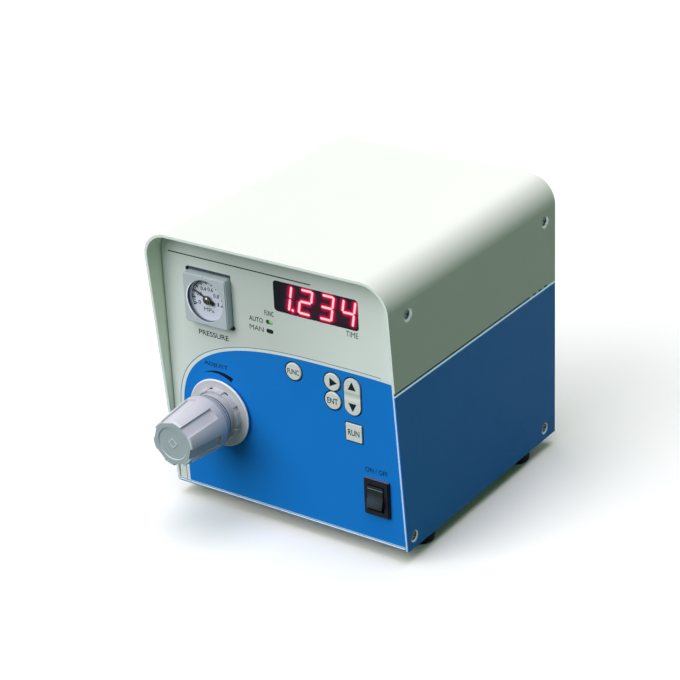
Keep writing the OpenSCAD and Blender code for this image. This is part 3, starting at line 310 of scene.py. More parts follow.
def turning_mark(tree, axes):
    """1 on the bow over the knob, which is thin at its left end and cut square to itself at its right."""
    start, end = (-50.6, 70.1), (-31.0, 71.2)
    upper = circle_through(start, (-42.2, 73.2), end)
    lower = circle_through(start, (-42.2, 71.9), (-32.4, 68.8))
    inside = reach_mask(tree, axes, *lower)
    outside = add(tree, "Math", {0: 1.0, 1: inside}, operation="SUBTRACT").outputs[0]
    bow = reach_mask(tree, axes, *upper)
    bow = add(tree, "Math", {0: bow, 1: outside}, operation="MULTIPLY").outputs[0]
    bow = band(tree, axes["X"], start[0] * MM, (end[0] + 1) * MM, within=bow)
    # The cut goes through the end point and leans this far to the right for each millimetre up
    lean = 0.583
    slant = add(tree, "Math", {0: axes["Z"], 1: -lean, 2: axes["X"]}, operation="MULTIPLY_ADD").outputs[0]
    return band(tree, slant, high=(end[0] - lean * end[1]) * MM - lean * SILL, within=bow)


# Printed, painted and moulded front

@cache
def printed_film():
    """Polyester film printed from behind: grey ground, and a blue field with a light rim and thin line."""
    material, tree, shader, place = blank("screen_printed_polyester_film")
    axes = add(tree, "SeparateXYZ", {"Vector": place}).outputs
    ground = mottled(tree, place, colours().film_grey, 0.02, 40.0)
    # Painted light: the ground is made lighter towards the film's two ends, against the shade near the
    # cover's walls
    ends = distance(tree, axes["X"], -18 * MM)
    ends = add(tree, "MapRange", {"Value": ends, "From Min": 14 * MM, "From Max": 62 * MM}).outputs[0]
    thin = opaque([min(1, 1.24 * c) for c in colours().film_grey])
    line = band(tree, axes["X"], high=61.0 * MM, within=arch_mask(tree, axes, 2.35))
    rim = arch_mask(tree, axes, 1.95)
    field = band(tree, axes["Z"], low=SILL + 2.2 * MM, within=arch_mask(tree, axes, 0.0))
    coats = [(ends, thin), (line, "#5F7078"), (rim, "#E2ECF2"),
             (field, mottled(tree, place, colours().blue, 0.03, 30.0))]
    # Dark rings round the key openings, of which one is square with small corners. The keys widen
    # behind the panel, so a round one's radius is half of its height
    low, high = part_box("key_mode")
    radius = (high.z - low.z) / 2 / MM
    for key in KEYS:
        low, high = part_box("key_" + key)
        square = key == "test"
        corner = 0.3 if square else radius
        half = (high.z - low.z) / 2 / MM - corner
        ring = reach_mask(tree, axes, *on_panel((low + high) / 2), KEY_RING_W + corner,
                          half if square else 0.0, half)
        coats.append((ring, "#10263E"))
    # A dark line over the gauge and to its right is painted shade of the gap round the gauge's opening
    low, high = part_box("gauge_case")
    painted_gap_shade = band(tree, axes["X"], low.x, high.x + 0.25 * MM)
    painted_gap_shade = band(tree, axes["Z"], low.z, high.z + 0.3 * MM, within=painted_gap_shade)
    coats += [(turning_mark(tree, axes), "#0A152A"), (painted_gap_shade, "#4A545A")]
    # Pebbles of the film's texture are 0.1 mm across; drawn at 0.4 mm so that they show
    surface(tree, shader, place, ground, roughness=0.5, grain=0.4, depth=0.004, spread=0.05,
            coats=coats, Specular_IOR_Level=0.06)
    return material


@cache
def case_paint():
    """Baked paint on sheet steel, semi-matt with orange peel; the sides are blue below a bright trim."""
    material, tree, shader, place = blank("baked_paint_on_sheet_steel")
    axes = add(tree, "SeparateXYZ", {"Vector": place}).outputs
    cream = mottled(tree, place, colours().cover_cream, 0.015, 60.0)
    blue = mottled(tree, place, colours().blue, 0.03, 40.0)
    left = band(tree, axes["X"], high=0.1 * MM - SIDE)
    right = band(tree, axes["X"], low=SIDE - 0.6 * MM)
    side = add(tree, "Math", {0: left, 1: right}, operation="MAXIMUM").outputs[0]
    trim_low, trim_high = SILL + TRIM_Z * MM, SILL + (TRIM_Z + TRIM_H) * MM
    below = band(tree, axes["Z"], high=trim_low)
    trim = band(tree, axes["Z"], trim_low, trim_high)
    # Over the trim a dark line runs to 122 mm from the panel and ends in three dashes
    run = band(tree, axes["Y"], high=FACE + 122 * MM)
    for start in (125.0, 131.0, 137.0):
        dash = band(tree, axes["Y"], FACE + start * MM, FACE + (start + 3.4) * MM)
        run = add(tree, "Math", {0: run, 1: dash}, operation="MAXIMUM").outputs[0]
    rule = band(tree, axes["Z"], trim_high, trim_high + TRIM_H * MM, within=run)
    # Painted highlight: the sheet's cut front edge is made pale and metallic so that it shows bright, and
    # beside the blue of the right side it is bluer, a painted reflection of the blue
    facing = add(tree, "SeparateXYZ", {"Vector": add(tree, "NewGeometry").outputs["Normal"]}).outputs
    cut = add(tree, "MapRange", {"Value": facing["Y"], "From Min": -0.45, "From Max": -0.75}).outputs[0]
    painted_blue_reflection = band(tree, axes["X"], low=0.0, within=below)
    ground = add(tree, "Mix", {0: painted_blue_reflection, 6: "#BDC9C3", 7: "#AFC6DA"}, data_type="RGBA").outputs[2]
    # Painted light: the walls' inner faces are made paler, so that they look lit
    painted_light_inside = add(tree, "Math", {0: facing["X"], 1: axes["X"]}, operation="MULTIPLY").outputs[0]
    painted_light_inside = add(tree, "MapRange", {"Value": painted_light_inside, "From Min": -0.2 * SIDE,
                                    "From Max": -0.8 * SIDE}).outputs[0]
    coats = [(painted_light_inside, "#F6FFEC"), (cut, ground)]
    bright = cut
    for mask, ink, shine in ((rule, "#22414E", 0.0), (trim, "#93B6C4", 1.0), (below, blue, 0.0)):
        printed = add(tree, "Math", {0: mask, 1: side}, operation="MULTIPLY").outputs[0]
        coats.append((printed, ink))
        bright = add(tree, "Mix", {0: printed, 2: bright, 3: shine}).outputs[0]
    surface(tree, shader, place, cream, spread=0.05, coats=coats, Metallic=bright, **BAKED_PAINT)
    return material


@cache
def panel_paint():
    """The same baked paint on the rear panel, plain cream."""
    return finish("baked_cream_paint", colours().cover_cream, share=0.015, patch=60.0, **BAKED_PAINT)


@cache
def tray_paint():
    """The tray's cream paint; its lip before the panel has a painted highlight above and painted shade below.
    """
    material, tree, shader, place = blank("baked_cream_paint_on_tray")
    axes = add(tree, "SeparateXYZ", {"Vector": place}).outputs
    ahead = band(tree, axes["Y"], high=FACE + 0.3 * MM)
    upper = band(tree, axes["Z"], low=SILL + 1.15 * MM)
    # The lip's pale metallic upper part is a painted highlight and its blue-grey lower part is painted shade
    lip = add(tree, "Mix", {0: upper, 6: "#6F8494", 7: "#C4DAEC"}, data_type="RGBA").outputs[2]
    bright = add(tree, "Math", {0: ahead, 1: upper}, operation="MULTIPLY").outputs[0]
    surface(tree, shader, place, mottled(tree, place, colours().cover_cream, 0.015, 60.0),
            spread=0.05, coats=[(ahead, lip)], Metallic=bright, **BAKED_PAINT)
    return material


@cache
def galvanised_sheet():
    """Bare galvanised steel inside the case: grey spangles and a dull shine."""
    return finish("galvanised_sheet", "#9BA0A2", share=0.12, patch=4.0,
                  roughness=0.45, grain=2.5, depth=0.004, spread=0.1, Metallic=1.0)


@cache
def screen_ink():
    """Screen-printed ink: matt, dark blue-grey, a little uneven where the mesh laid it down."""
    return finish("screen_printed_ink", colours().ink, share=0.10, patch=2.0,
                  roughness=0.6, grain=0.3, depth=0.002, Specular_IOR_Level=0.1)


@cache
def blue_ink():
    """Dark blue ink printed over the blue field, so that it shows only weakly."""
    return finish("navy_overprint", "#081C3C", share=0.08, patch=2.0,
                  roughness=0.6, grain=0.3, depth=0.002, Specular_IOR_Level=0.1)


@cache
def key_plastic():
    """Moulded ABS key caps: warm white, fine matt grain from the mould."""
    return finish("moulded_abs_key", colours().key, share=0.03, patch=4.0, **KEY_ABS)


@cache
def see_saw_plastic():
    """The key caps' ABS, with a shallow saddle across the see-saw key between its two arrows."""
    material, tree, shader, place = blank("moulded_abs_see_saw")
    height = add(tree, "SeparateXYZ", {"Vector": place}).outputs["Z"]
    away = distance(tree, height, middle("key_up_down").z)
    dip = add(tree, "MapRange", {"Value": away, "From Min": 0.3 * MM, "From Max": 2.6 * MM},
              interpolation_type="SMOOTHSTEP").outputs[0]
    relief = add(tree, "Bump", {"Height": dip, "Distance": 0.35 * MM, "Strength": 1.0}).outputs["Normal"]
    surface(tree, shader, place, mottled(tree, place, colours().key, 0.03, 4.0), relief=relief, **KEY_ABS)
    return material


@cache
def bonnet_plastic():
    """Moulded acetal of the bonnet: grey, satin, with faint flow marks."""
    return finish("moulded_acetal_grey", colours().knob, share=0.04, patch=6.0, **ACETAL)


@cache
def ring_nut_plastic():
    """The ring nut's acetal, with a painted highlight as a light rim round its flange."""
    material, tree, shader, place = blank("moulded_acetal_ring_nut")
    axes = add(tree, "SeparateXYZ", {"Vector": place}).outputs
    inside = reach_mask(tree, axes, NUT_X, NUT_Z, half_width("regulator_nut") - 0.55)
    grey = mottled(tree, place, colours().knob, 0.04, 6.0)
    # Outside the grey, the pale rim round the flange is a painted highlight
    surface(tree, shader, place, "#F2F5FC", coats=[(inside, grey)], **ACETAL)
    return material


@cache
def knob_grip_plastic():
    """The knob's acetal: satin flanks, and a front that is darker and bluer, with painted highlights on its
    outer edge and raised diamond.
    """
    material, tree, shader, place = blank("moulded_acetal_knob")
    axes = add(tree, "SeparateXYZ", {"Vector": place}).outputs
    front, rear = (corner.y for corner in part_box("regulator_knob"))
    # Painted highlights: the front's outer edge and its raised diamond are lighter
    flat = reach_mask(tree, axes, NUT_X, NUT_Z, KNOB_FLAT_R)
    raised = band(tree, axes["Y"], front + 0.15 * MM, front + 0.42 * MM)
    face = "#D8E1E7"
    for mask, ink in ((flat, mottled(tree, place, "#A3B0B8", 0.05, 3.0)), (raised, "#C6D1D8")):
        face = add(tree, "Mix", {0: mask, 6: face, 7: ink}, data_type="RGBA").outputs[2]
    coats = [(band(tree, axes["Y"], high=front + 0.75 * MM), face)]
    # Painted shade lines round the knob's neck, standing for grooves: their start from its rear, their width
    # and their shade
    for start, width, ink in ((-6.6, 0.35, "#7C878F"), (-5.7, 0.35, "#7C878F"),
                              (-4.9, 0.9, "#515C64"), (-3.1, 0.7, "#515C64"), (-1.5, 0.7, "#515C64")):
        painted_groove_shade = band(tree, axes["Y"], rear + start * MM, rear + (start + width) * MM)
        coats.append((painted_groove_shade, ink))
    surface(tree, shader, place, mottled(tree, place, colours().knob, 0.04, 6.0),
            roughness=0.4, grain=0.5, depth=0.006, coats=coats, Specular_IOR_Level=0.3)
    return material


@cache
def gauge_plastic():
    """Moulded ABS of the gauge's case: pale violet grey and smooth, with a painted highlight on its rim and
    painted shade as a dark ring in its bore.
    """
    material, tree, shader, place = blank("moulded_abs_gauge_case")
    axes = add(tree, "SeparateXYZ", {"Vector": place}).outputs
    dial, radius = middle("gauge_dial"), half_width("gauge_dial")
    # The moulding's rim has a painted highlight, strongest at its left, where it is also metallic
    left = add(tree, "MapRange", {"Value": axes["X"], "From Min": dial.x - 6 * MM,
                                  "From Max": dial.x - 10 * MM}).outputs[0]
    rim = reach_mask(tree, axes, *on_panel(dial), radius + 0.6)
    painted_rim_highlight = add(tree, "Math", {0: rim, 1: left}, operation="MULTIPLY").outputs[0]
    coats = [(painted_rim_highlight, "#DDE3E8")]
    # Painted shade as a dark band in the bore, and the bore paler still deeper down round the dial, by their
    # depth from the front
    bore = reach_mask(tree, axes, *on_panel(dial), radius + 0.2)
    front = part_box("gauge_case")[0].y
    for depth, ink in ((0.4, mottled(tree, place, "#4C535C", 0.06, 3.0)), (2.1, "#C4C9D8")):
        coats.append((band(tree, axes["Y"], low=front + depth * MM, within=bore), ink))
    surface(tree, shader, place, mottled(tree, place, "#BCC5D0", 0.03, 5.0),
            roughness=0.38, grain=0.45, depth=0.004, spread=0.05, coats=coats,
            Metallic=painted_rim_highlight, Specular_IOR_Level=0.3)
    return material


@cache
def dial_enamel():
    """Bluish-white enamelled aluminium dial, dead flat."""
    return finish("white_enamel_dial", "#DADDF0", share=0.015, patch=8.0,
                  roughness=0.45, grain=0.6, depth=0.002, Specular_IOR_Level=0.1)


@cache
def dial_ink():
    """Black ink of the dial's scale."""
    return finish("dial_scale_ink", "#0C1018", share=0.08, patch=1.5,
                  roughness=0.6, grain=0.25, depth=0.001, Specular_IOR_Level=0.1)


@cache
def scale_band_ink():
    """Grey-green ink of the band under the ticks, thin enough to let the dial show through."""
    return finish("scale_band_ink", "#A4B4BE", share=0.08, patch=1.5,
                  roughness=0.5, grain=0.25, depth=0.001, Specular_IOR_Level=0.1)


@cache
def pointer_paint():
    """Black enamel on the gauge's stamped pointer."""
    return finish("black_enamel_pointer", "#0A0E12", share=0.08, patch=1.5,
                  roughness=0.45, grain=0.3, depth=0.002, Specular_IOR_Level=0.15)


@cache
def hub_metal():
    """Turned brass hub gone nearly black, with a painted glint off its middle."""
    material, tree, shader, place = blank("darkened_brass_hub")
    axes = add(tree, "SeparateXYZ", {"Vector": place}).outputs
    x, z = on_panel(middle("gauge_dial"))
    # A small pale metallic spot above the dial's middle is a painted glint
    painted_glint = reach_mask(tree, axes, x, z + 1.0, 0.55)
    surface(tree, shader, place, mottled(tree, place, "#141A16", 0.15, 1.0),
            roughness=0.2, grain=0.15, depth=0.003, coats=[(painted_glint, "#F6F6F8")],
            Metallic=painted_glint, Specular_IOR_Level=0.35)
    return material


@cache
def lens_acrylic():
    """Clear moulded acrylic over the dial: thin, with only a soft shine of its own."""
    return finish("clear_acrylic_lens", "#F4FAFC", share=0.01, patch=10.0,
                  roughness=0.06, grain=1.2, depth=0.001, spread=0.02, Alpha=0.01)


@cache
def window_acrylic():
    """Smoked red acrylic before the display: violet-black, with red light scattered round the digits."""
    material, tree, shader, place = blank("smoked_red_acrylic")
    axes = add(tree, "SeparateXYZ", {"Vector": place}).outputs
    along = add(tree, "MapRange", {"Value": axes["X"], "From Min": 2 * MM, "From Max": 10 * MM}).outputs[0]
    # The glow falls to a quarter from 5 to 10 mm over and under the digits' middle line
    glow = 0.024
    away = distance(tree, axes["Z"], SILL + DIGIT_Z * MM)
    near = add(tree, "MapRange", {"Value": away, "From Min": 5.0 * MM, "From Max": 10.0 * MM,
                                  "To Min": glow, "To Max": 0.25 * glow}).outputs[0]
    strength = add(tree, "Math", {0: along, 1: near}, operation="MULTIPLY").outputs[0]
    surface(tree, shader, place, mottled(tree, place, "#121822", 0.15, 9.0),
            roughness=0.25, grain=1.0, depth=0.001, spread=0.03, Specular_IOR_Level=0.06,
            Emission_Color="#FF387C", Emission_Strength=strength)
    return material


@cache
def digit_light(layer):
    """Red light of the display, from what is scattered widest round a segment to its nearly white middle."""
    light = linear(("#3A1228", "#5C1530", "#8E143A", colours().digits, "#FF6C8A", "#FFD8D8")[layer])
    material, tree, shader, place = blank("display_light_" + str(layer))
    surface(tree, shader, place, opaque([0.1 * c for c in light]),
            roughness=0.4, grain=0.5, depth=0.001, spread=0.04, Specular_IOR_Level=0.05,
            Emission_Color=mottled(tree, place, light, 0.05, 3.0), Emission_Strength=1.0)
    return material


@cache
def lit_lamp():
    """Lit green epoxy lamp: its chip glows through its upper right part."""
    material, tree, shader, place = blank("lit_green_epoxy")
    axes = add(tree, "SeparateXYZ", {"Vector": place}).outputs
    lamp = middle("timer_lamp" if sizes().lit_lamp == 1 else "free_lamp")
    chip = (lamp.x + 1.1 * MM, 0, lamp.z + 0.6 * MM)
    flat = add(tree, "CombineXYZ", {"X": axes["X"], "Z": axes["Z"]}).outputs[0]
    away = add(tree, "VectorMath", {0: flat, 1: chip}, operation="DISTANCE").outputs["Value"]
    near = add(tree, "MapRange", {"Value": away, "From Min": 2.3 * MM, "From Max": 0.5 * MM},
               interpolation_type="SMOOTHSTEP").outputs[0]
    strength = add(tree, "MapRange", {"Value": near, "To Min": 0.06, "To Max": 0.8}).outputs[0]
    glow = mottled(tree, place, colours().lamp, 0.1, 3.0)
    glow = add(tree, "Mix", {0: near, 6: glow, 7: "#9AD69A"}, data_type="RGBA").outputs[2]
    surface(tree, shader, place, "#123018",
            roughness=0.4, grain=0.5, depth=0.001, spread=0.04, Specular_IOR_Level=0.05,
            Emission_Color=glow, Emission_Strength=strength)
    return material


@cache
def dark_lamp():
    """Unlit lamp: its green epoxy looks nearly black."""
    return finish("unlit_green_epoxy", "#0E1816", share=0.08, patch=2.0,
                  roughness=0.3, grain=0.5, depth=0.002, Specular_IOR_Level=0.1)


@cache
def black_abs():
    """Black moulded ABS with the fine spark-eroded grain of its mould."""
    return finish("moulded_black_abs", "#0B0F16", share=0.10, patch=5.0, **BLACK_ABS)


@cache
def switch_frame_plastic():
    """The switch's black ABS, with a painted highlight along its upper edge."""
    material, tree, shader, place = blank("moulded_black_abs_frame")
    height = add(tree, "SeparateXYZ", {"Vector": place}).outputs["Z"]
    painted_top_highlight = band(tree, height, low=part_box("switch_body")[1].z - 0.4 * MM)
    surface(tree, shader, place, mottled(tree, place, "#0B0F1A", 0.10, 5.0),
            coats=[(painted_top_highlight, "#5C5F78")], **BLACK_ABS)
    return material


@cache
def polished_black():
    """Black polycarbonate of the rocker from a polished mould, with painted highlights on its bulge and near
    its ends.
    """
    material, tree, shader, place = blank("polished_black_polycarbonate")
    axes = add(tree, "SeparateXYZ", {"Vector": place}).outputs
    low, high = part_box("switch_rocker")
    tall = high.z - low.z
    away = distance(tree, axes["Z"], low.z + 0.42 * tall)
    bulge = add(tree, "MapRange", {"Value": away, "From Min": 0.4 * tall, "From Max": 0.0},
                interpolation_type="SMOOTHSTEP").outputs[0]
    across = add(tree, "MapRange", {"Value": axes["X"], "From Min": high.x, "From Max": low.x + 2 * MM,
                                    "To Min": 0.35}).outputs[0]
    lit = add(tree, "Math", {0: bulge, 1: across}, operation="MULTIPLY").outputs[0]
    # Painted highlight on the bulge, weaker towards the rocker's right
    coats = [(lit, "#35424E")]
    # Painted highlight lines near the rocker's two ends
    for start in (low.z + 0.5 * MM, high.z - 1.6 * MM):
        coats.append((band(tree, axes["Z"], start, start + 0.45 * MM), "#6C7B88"))
    surface(tree, shader, place, "#10181C", roughness=0.26, grain=0.8, depth=0.003, spread=0.04,
            coats=coats, Specular_IOR_Level=0.15)
    return material


@cache
def foot_rubber():
    """Moulded rubber of the feet: black, dusty and matt."""
    return finish("moulded_black_rubber", "#080B0E", share=0.15, patch=3.0,
                  roughness=0.75, grain=0.5, depth=0.02, Specular_IOR_Level=0.1)


# Metals

@cache
def nickel_screw():
    """Nickel-plated screws: grey and bright, with a little pitting."""
    return finish("nickel_plated_steel", "#565C57", share=0.15, patch=1.2,
                  roughness=0.28, grain=0.35, depth=0.006, spread=0.08, Metallic=1.0)


@cache
def dished_screw():
    """Nickel-plated cover screws: painted shade darkens the dish of the head, and a painted highlight leaves
    its lower rear slope bright.
    """
    material, tree, shader, place = blank("nickel_plated_dished_head")
    axes = add(tree, "SeparateXYZ", {"Vector": place}).outputs
    flat = add(tree, "CombineXYZ", {"Y": axes["Y"], "Z": axes["Z"]}).outputs[0]
    low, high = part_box("cover_screws")
    inset = SCREW_HEAD_R * MM
    away = None
    for y in (low.y + inset, high.y - inset):
        for z in (low.z + inset, high.z - inset):
            dish = (0, y - 0.7 * MM, z + 0.6 * MM)
            near = add(tree, "VectorMath", {0: flat, 1: dish}, operation="DISTANCE").outputs["Value"]
            if away is not None:
                near = add(tree, "Math", {0: away, 1: near}, operation="MINIMUM").outputs[0]
            away = near
    # The dark dish is painted shade, set up and forward so that a pale painted highlight is left on the lower
    # rear slope
    painted_dish_shade = add(tree, "MapRange", {"Value": away, "From Min": 2.75 * MM, "From Max": 2.35 * MM}).outputs[0]
    slope = add(tree, "MapRange", {"Value": away, "From Min": 1.3 * MM, "From Max": 3.4 * MM}).outputs[0]
    relief = add(tree, "Bump", {"Height": slope, "Distance": 1.6 * MM, "Strength": 1.0}).outputs["Normal"]
    surface(tree, shader, place, mottled(tree, place, "#D8E2E2", 0.1, 1.2),
            roughness=0.3, grain=0.35, depth=0.006, spread=0.08,
            coats=[(painted_dish_shade, "#3C5560")], relief=relief, Metallic=0.25)
    return material


@cache
def turned_steel():
    """Plain turned steel with fine lathe marks across its length."""
    return finish("turned_steel", "#A8ABAD", share=0.08, patch=3.0,
                  roughness=0.34, grain=0.5, depth=0.004, spread=0.08, stretch=(1, 6, 1), Metallic=1.0)


@cache
def cast_zinc():
    """Die-cast zinc of the regulator's body: dull grey, slightly grainy."""
    return finish("die_cast_zinc", "#8D9194", share=0.10, patch=5.0,
                  roughness=0.55, grain=0.7, depth=0.02, spread=0.08, Metallic=0.8)


@cache
def anodised_aluminium():
    """Clear-anodised aluminium of the valve: satin and even."""
    return finish("clear_anodised_aluminium", "#B4B7BA", share=0.05, patch=6.0,
                  roughness=0.38, grain=0.3, depth=0.004, spread=0.05, stretch=(1, 1, 8), Metallic=1.0)


@cache
def brass():
    """Turned brass board posts."""
    return finish("turned_brass", "#B79A55", share=0.10, patch=2.5,
                  roughness=0.32, grain=0.4, depth=0.004, spread=0.07, Metallic=1.0)


@cache
def sintered_bronze():
    """Sintered bronze of the silencer: beads 0.4 mm across, pressed together and open between."""
    return finish("sintered_bronze", "#8F744C", share=0.3, patch=0.9,
                  roughness=0.7, grain=0.4, depth=0.12, spread=0.1, Metallic=0.45)


# Plastics and boards at the back and inside

@cache
def fitting_plastic():
    """White PBT of the push-in fittings."""
    return finish("moulded_white_pbt", "#DCDDD6", share=0.03, patch=5.0,
                  roughness=0.4, grain=0.5, depth=0.004)


@cache
def collar_plastic():
    """Blue acetal of the release collars."""
    return finish("moulded_blue_acetal", "#2C5E9E", share=0.05, patch=3.0,
                  roughness=0.4, grain=0.4, depth=0.004)


@cache
def air_tube_plastic():
    """Blue polyurethane air tube, slightly see-through in the real one and drawn solid here."""
    return finish("blue_polyurethane_tube", "#2E79C4", share=0.06, patch=8.0,
                  roughness=0.3, grain=1.0, depth=0.003, spread=0.04)


@cache
def green_laminate():
    """Glass-epoxy board under green solder mask: the weave of 0.5 mm cloth shows faintly."""
    return finish("green_solder_mask", "#1E6A3A", share=0.14, patch=2.0,
                  roughness=0.32, grain=0.5, depth=0.006, spread=0.05)


@cache
def brown_laminate():
    """Paper-phenolic board of the power supply, brown and slightly fibrous."""
    return finish("paper_phenolic_board", "#9A7438", share=0.12, patch=3.0,
                  roughness=0.5, grain=0.6, depth=0.01, spread=0.05, stretch=(1, 4, 1))


@cache
def yellow_tape():
    """Polyester tape wound round the transformer."""
    return finish("wound_polyester_tape", "#D2A93A", share=0.10, patch=4.0,
                  roughness=0.35, grain=1.2, depth=0.01, spread=0.05, stretch=(1, 1, 6))


@cache
def dark_red_module():
    """Epoxy-filled body of the digit display behind its window."""
    return finish("epoxy_display_body", "#3A0E12", share=0.10, patch=4.0,
                  roughness=0.4, grain=0.5, depth=0.005)


@cache
def white_pvc():
    """White PVC covering of the mains wires."""
    return finish("white_pvc_wire", "#DEDED8", share=0.05, patch=5.0,
                  roughness=0.4, grain=0.6, depth=0.004)


@cache
def red_pvc():
    """Red PVC covering of the low-voltage wires."""
    return finish("red_pvc_wire", "#B2262A", share=0.06, patch=5.0,
                  roughness=0.4, grain=0.6, depth=0.004)


# Modelling

def only(*pieces):
    """Selects just these pieces and makes the first one active."""
    bpy.ops.object.select_all(action="DESELECT")
    for piece in pieces:
        piece.select_set(True)
    bpy.context.view_layer.objects.active = pieces[0]


def edit(piece, *steps):
    """Runs mesh operators on all of a piece in edit mode; each step is an operator and its settings."""
    only(piece)
    bpy.ops.object.mode_set(mode="EDIT")
    bpy.ops.mesh.select_all(action="SELECT")
    for operator, settings in steps:
        operator(**settings)
    bpy.ops.object.mode_set(mode="OBJECT")


def choose_edges(piece, test):
    """Selects the edges of a piece whose middle passes a test, and goes on in edit mode."""
    only(piece)
    bpy.ops.object.mode_set(mode="EDIT")
    bpy.ops.mesh.select_mode(type="EDGE")
    bpy.ops.mesh.select_all(action="DESELECT")
    bpy.ops.object.mode_set(mode="OBJECT")
    corners = piece.data.vertices
    for edge in piece.data.edges:
        start, end = edge.vertices
        edge.select = test((corners[start].co + corners[end].co) / 2)
    if not any(edge.select for edge in piece.data.edges):
        raise RuntimeError("nothing was chosen on " + piece.name)
    bpy.ops.object.mode_set(mode="EDIT")


def named(name):
    piece = bpy.context.object
    piece.name = name
    piece.data.name = name
    return piece


def settle(piece):
    """Moves a piece's place, turn and size into its mesh."""
    only(piece)
    bpy.ops.object.transform_apply(location=True, rotation=True, scale=True)
    return piece


def slab(name, centre, size):
    """A block of this size in metres about a point."""
    bpy.ops.object.select_all(action="DESELECT")
    bpy.ops.mesh.primitive_cube_add(size=1, location=centre, scale=size)
    return settle(named(name))


def rod(name, centre, radius, length, sides=64, ends="NGON"):
    """A round bar along Y about a point, or just its skin where its ends are NOTHING."""
    bpy.ops.object.select_all(action="DESELECT")
    bpy.ops.mesh.primitive_cylinder_add(vertices=sides, radius=radius, depth=length, end_fill_type=ends,
                                        location=centre, rotation=(math.radians(90), 0, 0))
    return settle(named(name))


def round_edges(piece, width, segments=2, angle=35):
    """Rounds every edge that turns more than this many degrees, and shades the piece smooth."""
    only(piece)
    rounding = piece.modifiers.new("Rounded edges", "BEVEL")
    rounding.width = width
    rounding.segments = segments
    rounding.limit_method = "ANGLE"
    rounding.angle_limit = math.radians(angle)
    rounding.use_clamp_overlap = True
    bpy.ops.object.modifier_apply(modifier=rounding.name)
    bpy.ops.object.shade_smooth_by_angle(angle=math.radians(angle))
    # Large flat faces keep their own normal, so no shade creeps across them from the rounded edges
    flats = piece.modifiers.new("Flat faces", "WEIGHTED_NORMAL")
    flats.keep_sharp = True
    flats.weight = 100
    bpy.ops.object.modifier_apply(modifier=flats.name)
    return piece


def refined(name, node, width, segments=2, angle=35):
    """A copy of a CAD solid in its place, its loose triangles merged and its sharp edges rounded."""
    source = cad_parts[node]
    piece = bpy.data.objects.new(name, source.data.copy())
    piece.data.name = name
    piece.data.materials.clear()
    bpy.context.scene.collection.objects.link(piece)
    edit(piece, (bpy.ops.mesh.remove_doubles, {"threshold": 0.001 * MM}),
         (bpy.ops.mesh.dissolve_limited, {"angle_limit": math.radians(0.4)}))
    round_edges(piece, width, segments, angle)
    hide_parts(node)
    return piece


def copies(pattern, places):
    """Copies of a piece, each with its own mesh and moved by a matrix, in place of the piece itself."""
    made = []
    for place in places:
        twin = bpy.data.objects.new(pattern.name, pattern.data.copy())
        bpy.context.scene.collection.objects.link(twin)
        twin.data.transform(place)
        made.append(twin)
    bpy.data.objects.remove(pattern)
    return made


def joined(name, pieces):
    only(*pieces)
    bpy.ops.object.join()
    return named(name)


def dress(piece, material, body):
    """Gives a finished piece its material and the body it moves with."""
    piece.data.materials.clear()
    piece.data.materials.append(material)
    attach(piece, body)
    return piece


def clothe(material, *nodes):
    """Gives CAD solids that stay as they are a better material."""
    for node in nodes:
        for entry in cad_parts[node].material_slots:
            entry.material = material


def lettering(name, words, x, z, width, height, face_y, weight=0.0):
    """Thin raised characters that face the front, fitted to a size about a place on the panel."""
    bpy.ops.object.select_all(action="DESELECT")
    bpy.ops.object.text_add()
    text = bpy.context.object.data
    text.body = words
    text.offset = weight
    text.extrude = 0.004
    text.resolution_u = 4
    thickness = 2 * text.extrude
    bpy.ops.object.convert(target="MESH")
    piece = named(name)
    xs, ys = ([vertex.co[axis] for vertex in piece.data.vertices] for axis in (0, 1))
    across = width * MM / (max(xs) - min(xs))
    up = height * MM / (max(ys) - min(ys))
    lift = sizes().ink_height
    piece.scale = (across, up, lift / thickness)
    piece.rotation_euler = (math.radians(90), 0, 0)
    piece.location = (x * MM - (max(xs) + min(xs)) / 2 * across, face_y - lift / 2,
                      SILL + z * MM - (max(ys) + min(ys)) / 2 * up)
    settle(piece)
    edit(piece, (bpy.ops.mesh.remove_doubles, {"threshold": 0.0005 * MM}))
    return piece


class DISPENSER_OT_case(bpy.types.Operator):
    """Rounds and paints the cover, the tray and the rear panel, and plates their screws"""
    bl_idname = "dispenser.case"
    bl_label = "Case"

    def execute(self, context):
        edge = sizes().sheet_edge
        dress(refined("painted_cover", "cover", edge, 3), case_paint(), "case")
        dress(refined("painted_tray", "base_tray", 0.6 * edge), tray_paint(), "case")
        dress(refined("painted_rear_panel", "rear_panel", 0.6 * edge), panel_paint(), "case")
        dress(refined("case_screws", "cover_screws", 0.12 * MM), dished_screw(), "case")
        dress(refined("rubber_feet", "feet", 0.3 * MM), foot_rubber(), "case")
        clothe(galvanised_sheet(), "front_panel")
        clothe(nickel_screw(), "foot_screws", "inner_screws", "fitting_nuts")
        return {"FINISHED"}


